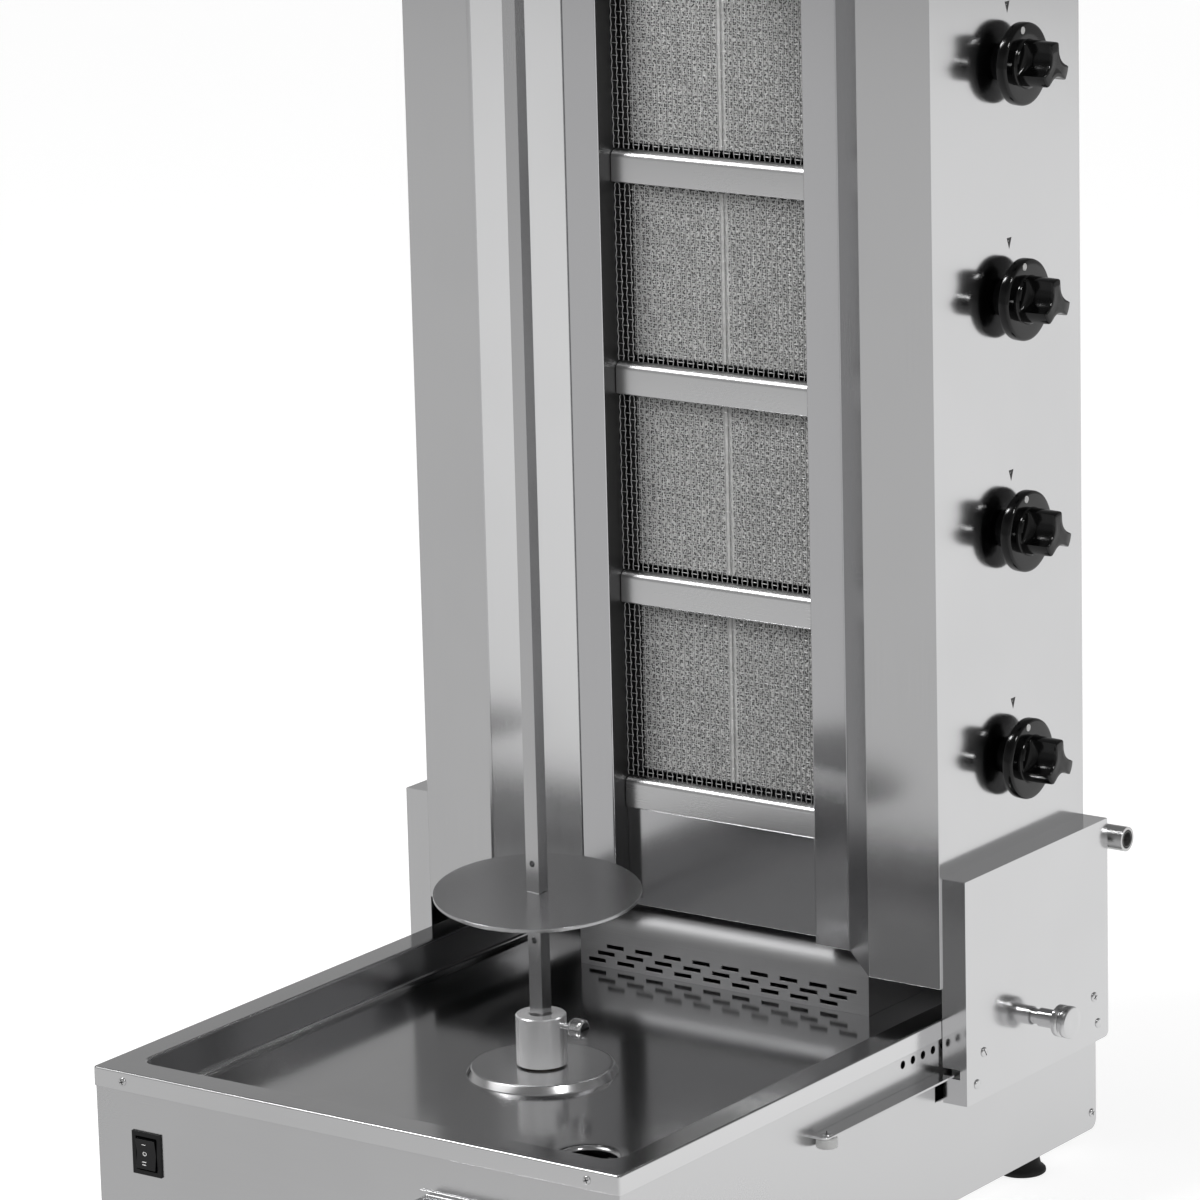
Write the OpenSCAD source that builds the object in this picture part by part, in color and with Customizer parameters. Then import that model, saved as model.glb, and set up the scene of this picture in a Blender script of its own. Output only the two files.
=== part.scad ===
// Gas doner kebab grill: a cabinet with a sunk drip pan and a drip drawer, a turning spit,
// and a tower of four gas burners that slides on side rails towards the spit.
// X points right, Y points back, Z points up. The origin is on the floor under the cabinet.

/* [Cabinet] */
// Half the width over the cabinet walls
cab_half_w = 248.1; // [246:0.1:252]
// Distance from the origin to the outside of the front wall
cab_front = 334.5; // [330:0.5:345]
// Distance from the origin to the outside of the rear wall
cab_rear = 336; // [330:0.5:360]
// Height of the cabinet floor over the ground
foot_h = 21; // [16:0.5:32]
// Thickness of the sheet steel
sheet_t = 1.5; // [1:0.1:1.6]
// Radius of the lower rear corner
cab_corner_r = 8; // [4:0.5:16]

/* [Drip pan] */
// Height of the rim over the ground
rim_z = 177; // [176:0.5:184]
// Height of the folded skirt
skirt_h = 15.5; // [8:0.5:15.6]
// Height of the basin floor
basin_z = 145.5; // [142:0.5:148]
// Width of the rim along each side
rim_side = 25.1; // [20:0.1:34]
// Depth of the rim in front
rim_front = 28; // [24:0.5:56]
// Depth of the rim at the rear
rim_rear = 37.5; // [25:0.5:47]
// Corner radius of the basin
basin_corner_r = 13; // [6:0.5:24]
// Radius of the drain hole
drain_r = 22; // [10:0.5:26]
// Drain hole's axis, in from the drawer's right side
drain_from_drawer = 82; // [40:1:120]
// Place of the drain hole, in front of the origin
drain_front = 235; // [180:1:260]

/* [Cowl] */
// Half the width of the slotted cowl
cowl_half_w = 142; // [100:1:160]
// Distance from the origin to the front wall of the cowl
cowl_y = 161.5; // [150:0.5:164]
// Depth of the cowl
cowl_d = 130; // [60:1:136]
// Height of the top of the cowl
cowl_top_z = 196; // [180:0.5:199]
// Radius of the bend at the top of the front wall
cowl_bend_r = 20; // [6:0.5:24]

/* [Drawer] */
// Drawer's left side, out from the gearbox's side
drawer_clear = 30; // [22:1:60]
// Drawer's right side, in from the cabinet's
drawer_side = 18.1; // [14:0.1:48]
// Bottom of the drawer box
drawer_z0 = 62; // [40:1:80]
// Height of the drawer box
drawer_h = 66; // [40:1:67]
// Depth of the drawer box
drawer_d = 256; // [150:1:270]
// How far the handle lip stands out from the drawer front
lip_d = 15.5; // [8:0.5:24]

/* [Spit] */
// Distance from the origin to the spit axis, towards the front
spit_front = 89; // [80:1:100]
// Side of the square spit bar
spit_s = 12; // [10:0.5:14]
// Radius of the holes across the bar
cross_hole_r = 2.5; // [1.5:0.1:3.2]
// Height of the lower hole across the bar
cross_hole_z = 254; // [230:1:262]
// Height of the upper hole across the bar
cross_hole_high_z = 316; // [312:1:380]
// Radius of the meat disc
disc_r = 81.5; // [60:0.5:95]
// Height of the meat disc where the bar passes it
disc_z = 290; // [280:1:300]
// Thickness of the meat disc
disc_t = 3; // [2:0.5:4]
// Lean of the loosely seated disc, in degrees
disc_lean = 5; // [0:0.5:6]
// Radius of the socket hub
hub_r = 20; // [18:0.5:26]
// Height of the top of the hub
hub_top_z = 193.5; // [188:0.5:204]
// Radius of the flange round the drive shaft
flange_r = 59.7; // [40:0.1:70]

/* [Tower] */
// Distance from the origin to the front of the tower, parked fully back
tower_y = 99; // [95:1:104]
// Depth of the tower
tower_d = 216.5; // [210:0.5:226]
// Height of the bottom of the tower
tower_z = 202; // [200.5:0.5:206]
// Height of the tower over its uppermost burner
tower_head = 39.5; // [33:0.5:68]
// Width of each side column
col_w = 66.6; // [60:0.1:72]
// Half the width of the burner housing
house_half_w = 130.6; // [120:0.1:140]
// Half the width of the window in front of the burners
window_half_w = 97.6; // [96:0.1:104]
// Distance from the origin to the front flanges of the burner housing
house_y = 152; // [130:1:154]

/* [Burners] */
// Number of burners
burners = 4; // [2:1:4]
// Height of the first cross bar's top
bar_z = 310; // [300:1:316]
// Distance from one cross bar to the next
bar_pitch = 173; // [160:1:173]
// Height of a cross bar
bar_h = 26; // [16:1:32]
// Wires of a mesh guard, gaps across
mesh_gaps_x = 11; // [4:1:12]
// Wires of a mesh guard, gaps up
mesh_gaps_z = 9; // [4:1:10]
// Width of a mesh guard's wires
mesh_wire = 1.4; // [1:0.1:2.5]

/* [Knobs] */
// Height of the first knob
knob_z = 365.5; // [356:0.5:366]
// Distance from one knob to the next
knob_pitch = 184; // [170:1:184]
// Distance from the origin back to the knob axes
knob_y = 210; // [206:0.5:214]
// Radius of the knob skirt
knob_r = 32.2; // [24:0.1:36]
// Length of the whole knob
knob_len = 35; // [30:0.5:36]

/* [Slide] */
// Height of the underside of the side rails
rail_z = 133; // [132:0.5:134]
// Thickness of the side rails
rail_h = 2; // [1.5:0.1:3]
// Width of the side rails
rail_w = 14.9; // [13:0.1:16]
// Number of locking holes in the right wall
lock_holes = 12; // [2:1:12]
// Distance from one locking hole to the next
lock_pitch = 14.5; // [10:0.5:14.5]
// Height of the locking holes
lock_z = 155; // [154:0.1:157.8]
// Radius of the locking holes
lock_hole_r = 3.3; // [3:0.1:3.6]
// Radius of the pull knob
pull_r = 13; // [9:0.5:16]

/* [Hidden] */
$fn = 64;

// General clearances: one overrun for every cut, a gap between moving faces,
// and the radial play of shafts in their bores
over = 1;
run_gap = 0.3;
shaft_play = 0.05;
seat_play = 0.1;

// Cabinet, derived
cab_top = rim_z - sheet_t;
cab_in = cab_half_w - sheet_t;
cab_floor = foot_h + sheet_t;
skirt_half_w = cab_half_w + sheet_t;
basin_half_w = skirt_half_w - rim_side;
basin_front = cab_front + sheet_t - rim_front;
basin_rear = cab_rear + sheet_t - rim_rear;
drawer_x1 = cab_half_w - drawer_side;
drain_x = drawer_x1 - drain_from_drawer;
tower_top_z = bar_z + burners * bar_pitch + tower_head;

// Feet
foot_in = 26.1;
foot_x = cab_half_w - foot_in;
foot_y = 262;
foot_r = 20;
foot_neck_r = 14;
foot_well_r = 9;
foot_well_h = 9;
foot_bolt_r = 4;
foot_bolt_play = 0.3;
foot_head_r = 7.2;
foot_head_h = 5;
foot_nut_h = 6;

// Service opening under the motor and its cover
service_w = 120;
service_d = 150;
cover_lap = 12;
vent_w = 4;
vent_l = 60;
vent_pitch = 14;
vents = 5;

// Switch in the front wall
switch_in = 49.1;
switch_x = switch_in - cab_half_w;
switch_z = 114;
switch_w = 25;
switch_h = 31.5;
switch_frame = 2.2;
switch_rim = 1.6;
switch_d = 24;
rocker_gap = 0.8;
rocker_d = 9;
rocker_out = 3.4;
rocker_throw = 9;
rocker_axle_r = 1.6;
rocker_axle_in = 4;

// Small screws on the cabinet
screw_r = 3.4;
screw_head_h = 2;
screw_shank_r = 1.9;
screw_len = 7;
front_screw_in = 29.6;
front_screw_x = skirt_half_w - front_screw_in;
front_screw_z = 169;
side_screw_y = 329;
side_screw_z = 35;

// Cable gland in the rear wall
gland_in_x = 68.1;
gland_x = gland_in_x - cab_half_w;
gland_z = 60;
gland_r = 11;
gland_bore_r = 4;
gland_out = 14;
gland_in = 8;
gland_neck_r = 8;

// Long slots in the side walls under the tower
wall_slot_y0 = 92;
wall_slot_y1 = 300;
wall_slot_z0 = 111;
wall_slot_z1 = 126;

// Rear vents
louvre_w = 70;
louvre_h = 5;
louvre_pitch = 12;
louvres = 4;
louvre_z = 70;

// Drain spout
spout_h = 8;

// Cowl slots
cowl_slot_w = 17;
cowl_slot_h = 3.5;
cowl_slot_pitch = 28.6;
cowl_slot_step = 9.2;
cowl_row_pitch = 6.5;
cowl_rows = 3;
cowl_row_z = 149;
cowl_slot_edge = 8;

// Drawer
drawer_t = 1.2;
drawer_gap = 3;
front_over = 6;
front_t = 1.5;
lip_t = 3;
lip_drop = 8;
lip_below_top = 3;
runner_t = 1.5;
runner_ledge = 8;
runner_gap = 0.4;
lip_over_gap = 2;

// Drive under the pan
gearbox_half_w = 42;
drawer_x0 = gearbox_half_w + drawer_clear;
gearbox_back = 60;
gearbox_z0 = 92;
gearbox_z1 = 130;
gear_bore_r = 9.6;
gear_bore_d = 26;
motor_r = 30;
motor_h = 56;
motor_back = 20;
bracket_half_w = 60;
bracket_front = 52;
bracket_back = 70;
bracket_t = 3;
bracket_hole_r = 17;
shaft_r = 9;
shaft_foot_gap = 0.5;
bush_r = 14;
bush_drop = 6;
pan_hole_r = 16;
flange_h = 6.25;
flange_bevel = 3.7;
hub_gap = 1.6;
hub_seat = 10;
bar_play = 0.2;
bar_seat_gap = 0.5;
thumb_z = 186.6;
thumb_r = 2.5;
thumb_head_r = 8;
thumb_neck = 9;
thumb_head_l = 13;
thumb_slot_w = 2;
thumb_slot_d = 2.5;
thumb_rim = 1.2;
hub_recess_r = 9.5;
hub_recess_d = 2;
hub_edge = 1;

// Disc and its collar
disc_play = 0.5;
collar_r = 13;
collar_h = 13;
disc_air = 0.3;
// Direction in which the disc leans, measured from the X axis
lean_dir = -54;

// Spit top and the arm over it
spigot_r = 5;
spigot_l = 22;
arm_half_w = 25;
arm_t = 6;
arm_back_y = 290;
arm_nose = 30;
arm_slot_play = 0.6;
arm_under_gap = 7;
arm_screw_r = 4;
arm_screw_head_r = 7;
arm_screw_head_h = 5;
arm_screw_x = 15;
arm_screw_y0 = 170;
arm_screw_y1 = 270;
arm_screw_len = 14;

// Tower, derived: the plates run past the skirt with a small gap
side_gap = 0.4;
tower_half_w = skirt_half_w + side_gap;
tower_rear = tower_y + tower_d;
col_in = tower_half_w - col_w;
back_y = tower_rear - sheet_t;
cap_z = tower_top_z - sheet_t;
house_z = tower_z - 0.4 * sheet_t;
return_d = 48;
wing_lap = 48;
bar_front_y = 168;
bar_d = 12;
bar_round = 6;
shield_y = 171;
cap_slot_w = 8;
cap_slot_l = 90;
cap_slot_pitch = 24;
cap_slots = 6;
back_slots = 6;
back_slot_drop = 141.5;
back_slot_z = tower_top_z - back_slot_drop;
tower_travel = (lock_holes - 1) * lock_pitch;

// Burners
burn_gap = 2;
burn_front_y = 188;
burn_back_y = 236;
burn_wall = 4;
pocket_half_w = 90;
plate_w = 89;
plate_t = 13;
plate_margin = 4;
plate_h = bar_pitch - bar_h - 2 * plate_margin;
plate_out = 3;
plate_gap = 0.3;
plenum_in = 8;
mesh_y = 172;
mesh_t = 1.2;
mesh_frame = 4;

// Gas line
valve_in = 45;
valve_x0 = tower_half_w - valve_in;
valve_gap = 2.5;
valve_half = 14;
valve_back = 22;
spindle_r = 4;
spindle_in = 10;
spindle_gap = 0.4;
spindle_hole_r = 6;
mani_w = 16;
mani_in = 23;
mani_x = tower_half_w - mani_in;
mani_over = 24;
mani_low_z = 255;
mani_t = 2;
pipe_r = 5;
pipe_t = 1;
pipe_play = 1;
inlet_z = 272;
inlet_pipe_r = 6;
inlet_block = 20;
inlet_nut_r = 13;
inlet_nut_l = 8;
nipple_r = 10;
nipple_len = 27;
nipple_bore_r = 6;
inlet_gap = 5;

// Knobs
knob_gap = 9;
knob_skirt_h = 9;
grip_r = 19;
grip_bite_r = 19.2;
grip_bite_at = 28.7;
grip_turn = 36;
grip_lobes = 3;
knob_cap_t = 2.5;
bezel_r = 15;
bezel_h = 6;
mark_y = 210;
mark_up = 43;
mark_w = 7;
mark_h = 9;
mark_d = 0.5;
knob_travel = 90;

// Rails, plates, shoes and keepers
rail_y0 = -84;
rail_y1 = 325;
rail_end_r = 6;
stop_r = 8.5;
stop_in = 8.9;
stop_y = -75;
stop_h = 8;
plate_out_w = 22.2;
plate_front = 2;
plate_rear = 0.5;
plate_z0 = 109;
plate_z1 = 292;
plate_corner_r = 5;
notch_play = 3;
shoe_l = 28;
shoe_h = 16;
shoe_rivet_up = 12;
shoe_lip_gap = 0.2;
shoe_y0 = 126.5;
shoe_y1 = 294;
shoe_side_gap = 1;
keeper_r = 9;
keeper_in = 4;
keeper_y0 = 116;
keeper_y1 = 300;
rivet_r = 4;
rivet_head_h = 1.4;
rivet_in = 6;
rivet_shank_r = 2;

// Plunger
plunger_y = 206;
pin_r = 3;
pin_clear = 0.6;
pin_in = 3;
neck_r = 6;
neck_len = 14;
neck_nut_r = 10;
neck_nut_l = 5;
sleeve_r = 7.6;
sleeve_play = 0.3;
sleeve_len = 16;
sleeve_gap = pin_in + 0.3;
pull_len = 14;
pull_groove_r = 1;
pull_groove_lip = 1.4;
spring_r = 4.8;
spring_in_r = 3.6;
spring_cell_r = 5.1;
spring_end_gap = 0.3;
neck_end_t = 3;

lock_y0 = plunger_y - tower_travel;
plate_x1 = tower_half_w + plate_out_w;
plate_in = plate_x1 - sheet_t;
plate_y0 = tower_y + plate_front;
plate_y1 = tower_rear + plate_rear;
rail_x1 = cab_half_w + rail_w;
rail_top = rail_z + rail_h;
spit_y = -spit_front;
bar_top = tower_top_z - arm_under_gap + sheet_t;
arm_z = tower_top_z;
collar_top = disc_z - collar_r * sin(disc_lean) - disc_air;
knob_x0 = tower_half_w + knob_gap;
knob_x1 = knob_x0 + knob_len;
flange_top = basin_z + flange_h;
hub_z = flange_top + hub_gap;
tip_x = cab_half_w + pin_clear;
neck_x1 = plate_x1 + neck_len;
sleeve_x0 = plate_x1 + sleeve_gap;
neck_lap = neck_x1 - sleeve_x0;
head_x0 = sleeve_x0 + sleeve_len;

// A block between two corners, given as ranges along X, Y and Z
module slab(x, y, z) {
    translate([x[0], y[0], z[0]])
        cube([x[1] - x[0], y[1] - y[0], z[1] - z[0]]);
}

// Round bars along each axis
module rod_x(r, x, y, z) {
    translate([x[0], y, z]) rotate([0, 90, 0]) cylinder(h = x[1] - x[0], r = r);
}
module rod_y(r, x, y, z) {
    translate([x, y[1], z]) rotate([90, 0, 0]) cylinder(h = y[1] - y[0], r = r);
}
module rod_z(r, x, y, z) {
    translate([x, y, z[0]]) cylinder(h = z[1] - z[0], r = r);
}

// A sketch whose first axis is Y and second axis is Z, drawn out along X
module along_x(x) {
    translate([x[0], 0, 0]) rotate([90, 0, 90]) linear_extrude(x[1] - x[0]) children();
}

// A piece and its mirror image on the other side
module both_sides() {
    children();
    mirror([1, 0, 0]) children();
}

// A rectangle with round corners between two ranges
module round_rect(x, y, r) {
    translate([x[0] + r, y[0]]) square([x[1] - x[0] - 2 * r, y[1] - y[0]]);
    translate([x[0], y[0] + r]) square([x[1] - x[0], y[1] - y[0] - 2 * r]);
    for (cx = [x[0] + r, x[1] - r], cy = [y[0] + r, y[1] - r])
        translate([cx, cy]) circle(r);
}

// Cabinet: a folded shell with a rounded lower rear corner, open at the top

module cab_outline(inset) {
    y0 = inset - cab_front;
    y1 = cab_rear - inset;
    z0 = foot_h + inset;
    z1 = inset == 0 ? cab_top : cab_top + over;
    r = cab_corner_r - inset;
    translate([y0, z0]) square([y1 - y0 - r, z1 - z0]);
    translate([y0, z0 + r]) square([y1 - y0, z1 - z0 - r]);
    translate([y1 - r, z0 + r]) circle(r);
}

module base_cabinet() {
    color([0.78, 0.79, 0.8]) difference() {
        along_x([-cab_half_w, cab_half_w]) cab_outline(0);
        along_x([-cab_in, cab_in]) cab_outline(sheet_t);
        // switch window
        slab([switch_x - switch_w / 2, switch_x + switch_w / 2],
            [-cab_front - over, -cab_front + sheet_t + over],
            [switch_z - switch_h / 2, switch_z + switch_h / 2]);
        // drawer opening
        slab([drawer_x0 - drawer_gap, drawer_x1 + drawer_gap],
            [-cab_front - over, -cab_front + sheet_t + over],
            [drawer_z0 - drawer_gap, drawer_z0 + drawer_h + drawer_gap]);
        // long slots under the tower
        both_sides() slab([cab_in - over, cab_half_w + over],
            [wall_slot_y0, wall_slot_y1], [wall_slot_z0, wall_slot_z1]);
        // locking holes
        for (i = [0 : lock_holes - 1])
            rod_x(lock_hole_r, [cab_in - over, cab_half_w + over], lock_y0 + i * lock_pitch, lock_z);
        // place of the rear wall
        slab([-cab_in, cab_in], [cab_rear - sheet_t - over, cab_rear + over],
            [foot_h + cab_corner_r, cab_top + over]);
        // feet, screws
        for (sx = [-1, 1], sy = [-1, 1])
            rod_z(foot_bolt_r + foot_bolt_play, sx * foot_x, sy * foot_y, [foot_h - over, cab_floor + over]);
        for (sx = [-1, 1])
            rod_y(screw_shank_r + seat_play, sx * front_screw_x,
                [-cab_front - over, -cab_front + sheet_t + over], front_screw_z);
        both_sides() rod_x(screw_shank_r + seat_play, [cab_in - over, cab_half_w + over],
            side_screw_y, side_screw_z);
        // service opening
        slab([-service_w / 2, service_w / 2], [spit_y - service_d / 2, spit_y + service_d / 2],
            [foot_h - over, cab_floor + over]);
    }
}

// Sheet between the side walls with the cable gland and the louvres

module rear_wall() {
    color([0.78, 0.79, 0.8]) difference() {
        slab([-cab_in, cab_in], [cab_rear - sheet_t, cab_rear], [foot_h + cab_corner_r, cab_top]);
        rod_y(gland_neck_r + seat_play, gland_x, [cab_rear - sheet_t - over, cab_rear + over], gland_z);
        for (i = [0 : louvres - 1], sx = [-1, 1])
            slab([sx * louvre_w - louvre_w / 2, sx * louvre_w + louvre_w / 2],
                [cab_rear - sheet_t - over, cab_rear + over],
                [louvre_z + i * louvre_pitch, louvre_z + i * louvre_pitch + louvre_h]);
    }
}

module bottom_plate() {
    color([0.6, 0.61, 0.62]) difference() {
        slab([-service_w / 2 - cover_lap, service_w / 2 + cover_lap],
            [spit_y - service_d / 2 - cover_lap, spit_y + service_d / 2 + cover_lap],
            [foot_h - sheet_t, foot_h]);
        for (i = [0 : vents - 1])
            slab([-vent_l / 2, vent_l / 2],
                [spit_y + (i - (vents - 1) / 2) * vent_pitch - vent_w / 2,
                 spit_y + (i - (vents - 1) / 2) * vent_pitch + vent_w / 2],
                [foot_h - sheet_t - over, foot_h + over]);
    }
}

// Top pan: rim, skirt folded down outside the cabinet, and the sunk basin

module basin_plan(grow) {
    round_rect([-basin_half_w - grow, basin_half_w + grow],
        [-basin_front - grow, basin_rear + grow], basin_corner_r + grow);
}

module drip_pan() {
    skirt_z = rim_z - skirt_h;
    color([0.8, 0.81, 0.82]) difference() {
        union() {
            difference() {
                slab([-skirt_half_w, skirt_half_w], [-cab_front - sheet_t, cab_rear + sheet_t], [skirt_z, rim_z]);
                slab([-cab_half_w, cab_half_w], [-cab_front, cab_rear], [skirt_z - over, cab_top]);
            }
            translate([0, 0, basin_z - sheet_t])
                linear_extrude(rim_z - basin_z + sheet_t) basin_plan(sheet_t);
            rod_z(drain_r + sheet_t, drain_x, -drain_front, [basin_z - spout_h, basin_z]);
        }
        translate([0, 0, basin_z]) linear_extrude(rim_z - basin_z + over) basin_plan(0);
        rod_z(drain_r, drain_x, -drain_front, [basin_z - spout_h - over, basin_z + over]);
        rod_z(pan_hole_r, 0, spit_y, [basin_z - sheet_t - over, basin_z + over]);
        for (sx = [-1, 1])
            rod_y(screw_shank_r + seat_play, sx * front_screw_x,
                [-cab_front - sheet_t - over, -cab_front + over], front_screw_z);
    }
}

// Slotted cowl standing in the basin under the burners

module cowl_outline(inset) {
    y0 = cowl_y + inset;
    y1 = cowl_y + cowl_d - inset;
    z0 = inset == 0 ? basin_z : basin_z - over;
    z1 = cowl_top_z - inset;
    r = cowl_bend_r - inset;
    translate([y0, z0]) square([y1 - y0, z1 - z0 - r]);
    translate([y0 + r, z0]) square([y1 - y0 - r, z1 - z0]);
    translate([y0 + r, z1 - r]) circle(r);
}

module rear_cowl() {
    slot_span = 2 * cowl_half_w - 2 * cowl_slot_edge - cowl_slot_w - (cowl_rows - 1) * cowl_slot_step;
    color([0.74, 0.75, 0.76]) difference() {
        along_x([-cowl_half_w, cowl_half_w]) cowl_outline(0);
        along_x([sheet_t - cowl_half_w, cowl_half_w - sheet_t]) cowl_outline(sheet_t);
        for (row = [0 : cowl_rows - 1], i = [0 : floor(slot_span / cowl_slot_pitch)])
            translate([cowl_slot_edge - cowl_half_w + row * cowl_slot_step + i * cowl_slot_pitch,
                cowl_y - over, cowl_row_z + row * cowl_row_pitch])
                cube([cowl_slot_w, sheet_t + 2 * over, cowl_slot_h]);
    }
}

// Feet

module foot_pads() {
    color([0.1, 0.1, 0.1]) for (sx = [-1, 1], sy = [-1, 1])
        translate([sx * foot_x, sy * foot_y, 0]) rotate_extrude()
            polygon([[foot_bolt_r + foot_bolt_play, foot_well_h], [foot_well_r, foot_well_h],
                [foot_well_r, 0], [foot_r, 0], [foot_neck_r, foot_h],
                [foot_bolt_r + foot_bolt_play, foot_h]]);
}

module foot_bolts() {
    color([0.6, 0.6, 0.62]) for (sx = [-1, 1], sy = [-1, 1]) translate([sx * foot_x, sy * foot_y, 0]) {
        translate([0, 0, foot_well_h - foot_head_h]) cylinder(h = foot_head_h, r = foot_head_r, $fn = 6);
        cylinder_between(foot_bolt_r, foot_well_h - foot_head_h, cab_floor + foot_nut_h);
        translate([0, 0, cab_floor]) cylinder(h = foot_nut_h, r = foot_head_r, $fn = 6);
    }
}

module cylinder_between(r, z0, z1) {
    translate([0, 0, z0]) cylinder(h = z1 - z0, r = r);
}

// Rocker switch

module switch_housing() {
    fw = switch_w / 2 + switch_rim;
    fh = switch_h / 2 + switch_rim;
    bw = switch_w / 2 - seat_play;
    bh = switch_h / 2 - seat_play;
    iw = switch_w / 2 - switch_frame;
    ih = switch_h / 2 - switch_frame;
    color([0.07, 0.07, 0.08]) difference() {
        union() {
            slab([switch_x - fw, switch_x + fw], [-cab_front - switch_rim, -cab_front], [switch_z - fh, switch_z + fh]);
            slab([switch_x - bw, switch_x + bw], [-cab_front, -cab_front + switch_d], [switch_z - bh, switch_z + bh]);
        }
        slab([switch_x - iw, switch_x + iw], [-cab_front - switch_rim - over, -cab_front + rocker_d + 2 * rocker_gap],
            [switch_z - ih, switch_z + ih]);
        rod_x(rocker_axle_r + shaft_play, [switch_x - iw - rocker_axle_r, switch_x + iw + rocker_axle_r],
            -cab_front + rocker_axle_in, switch_z);
    }
}

module switch_rocker() {
    hw = switch_w / 2 - switch_frame - rocker_gap;
    hh = switch_h / 2 - switch_frame - rocker_gap;
    color([0.05, 0.05, 0.06]) {
        along_x([switch_x - hw, switch_x + hw])
            polygon([[-cab_front - rocker_out, switch_z + hh - rocker_gap], [-cab_front - rocker_out / 2, switch_z],
                [-cab_front - rocker_out, switch_z - hh + rocker_gap], [-cab_front + rocker_axle_in - rocker_gap, switch_z - hh],
                [-cab_front + rocker_d, switch_z], [-cab_front + rocker_axle_in - rocker_gap, switch_z + hh]]);
        rod_x(rocker_axle_r, [switch_x - hw - rocker_axle_r, switch_x + hw + rocker_axle_r],
            -cab_front + rocker_axle_in, switch_z);
    }
}

// Small screws: two in front, one on each side

module cover_screws() {
    color([0.7, 0.7, 0.72]) {
        for (sx = [-1, 1]) {
            rod_y(screw_r, sx * front_screw_x, [-cab_front - sheet_t - screw_head_h, -cab_front - sheet_t], front_screw_z);
            rod_y(screw_shank_r, sx * front_screw_x,
                [-cab_front - sheet_t, -cab_front - sheet_t + screw_len], front_screw_z);
        }
        both_sides() {
            rod_x(screw_r, [cab_half_w, cab_half_w + screw_head_h], side_screw_y, side_screw_z);
            rod_x(screw_shank_r, [cab_half_w - screw_len, cab_half_w], side_screw_y, side_screw_z);
        }
    }
}

module cable_gland() {
    color([0.12, 0.12, 0.12]) difference() {
        union() {
            rod_y(gland_r, gland_x, [cab_rear, cab_rear + gland_out], gland_z);
            rod_y(gland_neck_r, gland_x, [cab_rear - gland_in, cab_rear], gland_z);
        }
        rod_y(gland_bore_r, gland_x, [cab_rear - gland_in - over, cab_rear + gland_out + over], gland_z);
    }
}

// Drip drawer and its runners

module drawer_runners() {
    zb = drawer_z0 - runner_gap;
    zt = drawer_z0 + drawer_h + runner_gap;
    y = [-cab_front + sheet_t, -cab_front + sheet_t + drawer_d];
    color([0.65, 0.66, 0.67]) {
        // left channel stands on the cabinet floor
        slab([drawer_x0 - runner_gap - runner_t, drawer_x0 - runner_gap], y, [cab_floor, zt + runner_t]);
        slab([drawer_x0 - runner_gap, drawer_x0 + runner_ledge], y, [zb - runner_t, zb]);
        slab([drawer_x0 - runner_gap, drawer_x0 + runner_ledge], y, [zt, zt + runner_t]);
        // right channel
        slab([drawer_x1 + runner_gap, drawer_x1 + runner_gap + runner_t], y, [cab_floor, zt + runner_t]);
        slab([drawer_x1 - runner_ledge, drawer_x1 + runner_gap], y, [zb - runner_t, zb]);
        slab([drawer_x1 - runner_ledge, drawer_x1 + runner_gap], y, [zt, zt + runner_t]);
    }
}

module drawer_box() {
    y0 = -cab_front - runner_gap;
    y1 = y0 + drawer_d;
    color([0.72, 0.73, 0.74]) difference() {
        slab([drawer_x0, drawer_x1], [y0, y1], [drawer_z0, drawer_z0 + drawer_h]);
        slab([drawer_x0 + drawer_t, drawer_x1 - drawer_t], [y0 + drawer_t, y1 - drawer_t],
            [drawer_z0 + drawer_t, drawer_z0 + drawer_h + over]);
    }
}

module drawer_front() {
    y1 = -cab_front - runner_gap;
    y0 = y1 - front_t;
    zt = drawer_z0 + drawer_h + front_over;
    color([0.8, 0.81, 0.82]) {
        slab([drawer_x0 - front_over, drawer_x1 + front_over], [y0, y1], [drawer_z0 - front_over, zt]);
        slab([drawer_x0, drawer_x1 + front_over], [y0 - lip_d, y0], [zt - lip_below_top - front_t, zt - lip_below_top]);
        slab([drawer_x0, drawer_x1 + front_over], [y0 - lip_d, y0 - lip_d + front_t],
            [zt - lip_below_top - lip_drop, zt - lip_below_top - front_t]);
    }
}

// Drive: motor and gearbox hang from a bracket under the pan

module gearbox() {
    color([0.55, 0.56, 0.57]) difference() {
        slab([-gearbox_half_w, gearbox_half_w], [spit_y - gearbox_half_w, spit_y + gearbox_back], [gearbox_z0, gearbox_z1]);
        rod_z(gear_bore_r, 0, spit_y, [gearbox_z1 - gear_bore_d, gearbox_z1 + over]);
    }
}

module motor() {
    color([0.3, 0.31, 0.32]) rod_z(motor_r, 0, spit_y + motor_back, [gearbox_z0 - motor_h, gearbox_z0]);
}

module motor_bracket() {
    color([0.6, 0.61, 0.62]) {
        difference() {
            slab([-bracket_half_w, bracket_half_w], [spit_y - bracket_front, spit_y + bracket_back],
                [gearbox_z1, gearbox_z1 + bracket_t]);
            rod_z(bracket_hole_r, 0, spit_y, [gearbox_z1 - over, gearbox_z1 + bracket_t + over]);
        }
        both_sides() slab([bracket_half_w - bracket_t, bracket_half_w],
            [spit_y - bracket_front, spit_y + bracket_back],
            [gearbox_z1 + bracket_t, basin_z - sheet_t]);
    }
}

module shaft_flange() {
    color([0.8, 0.81, 0.82]) translate([0, spit_y, 0]) rotate_extrude()
        polygon([[bush_r + seat_play, basin_z], [flange_r, basin_z],
            [flange_r - flange_bevel, flange_top], [bush_r + seat_play, flange_top]]);
}

module shaft_bearing() {
    color([0.7, 0.55, 0.3]) difference() {
        rod_z(bush_r, 0, spit_y, [basin_z - bush_drop, flange_top]);
        rod_z(shaft_r + shaft_play, 0, spit_y, [basin_z - bush_drop - over, flange_top + over]);
    }
}

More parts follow.
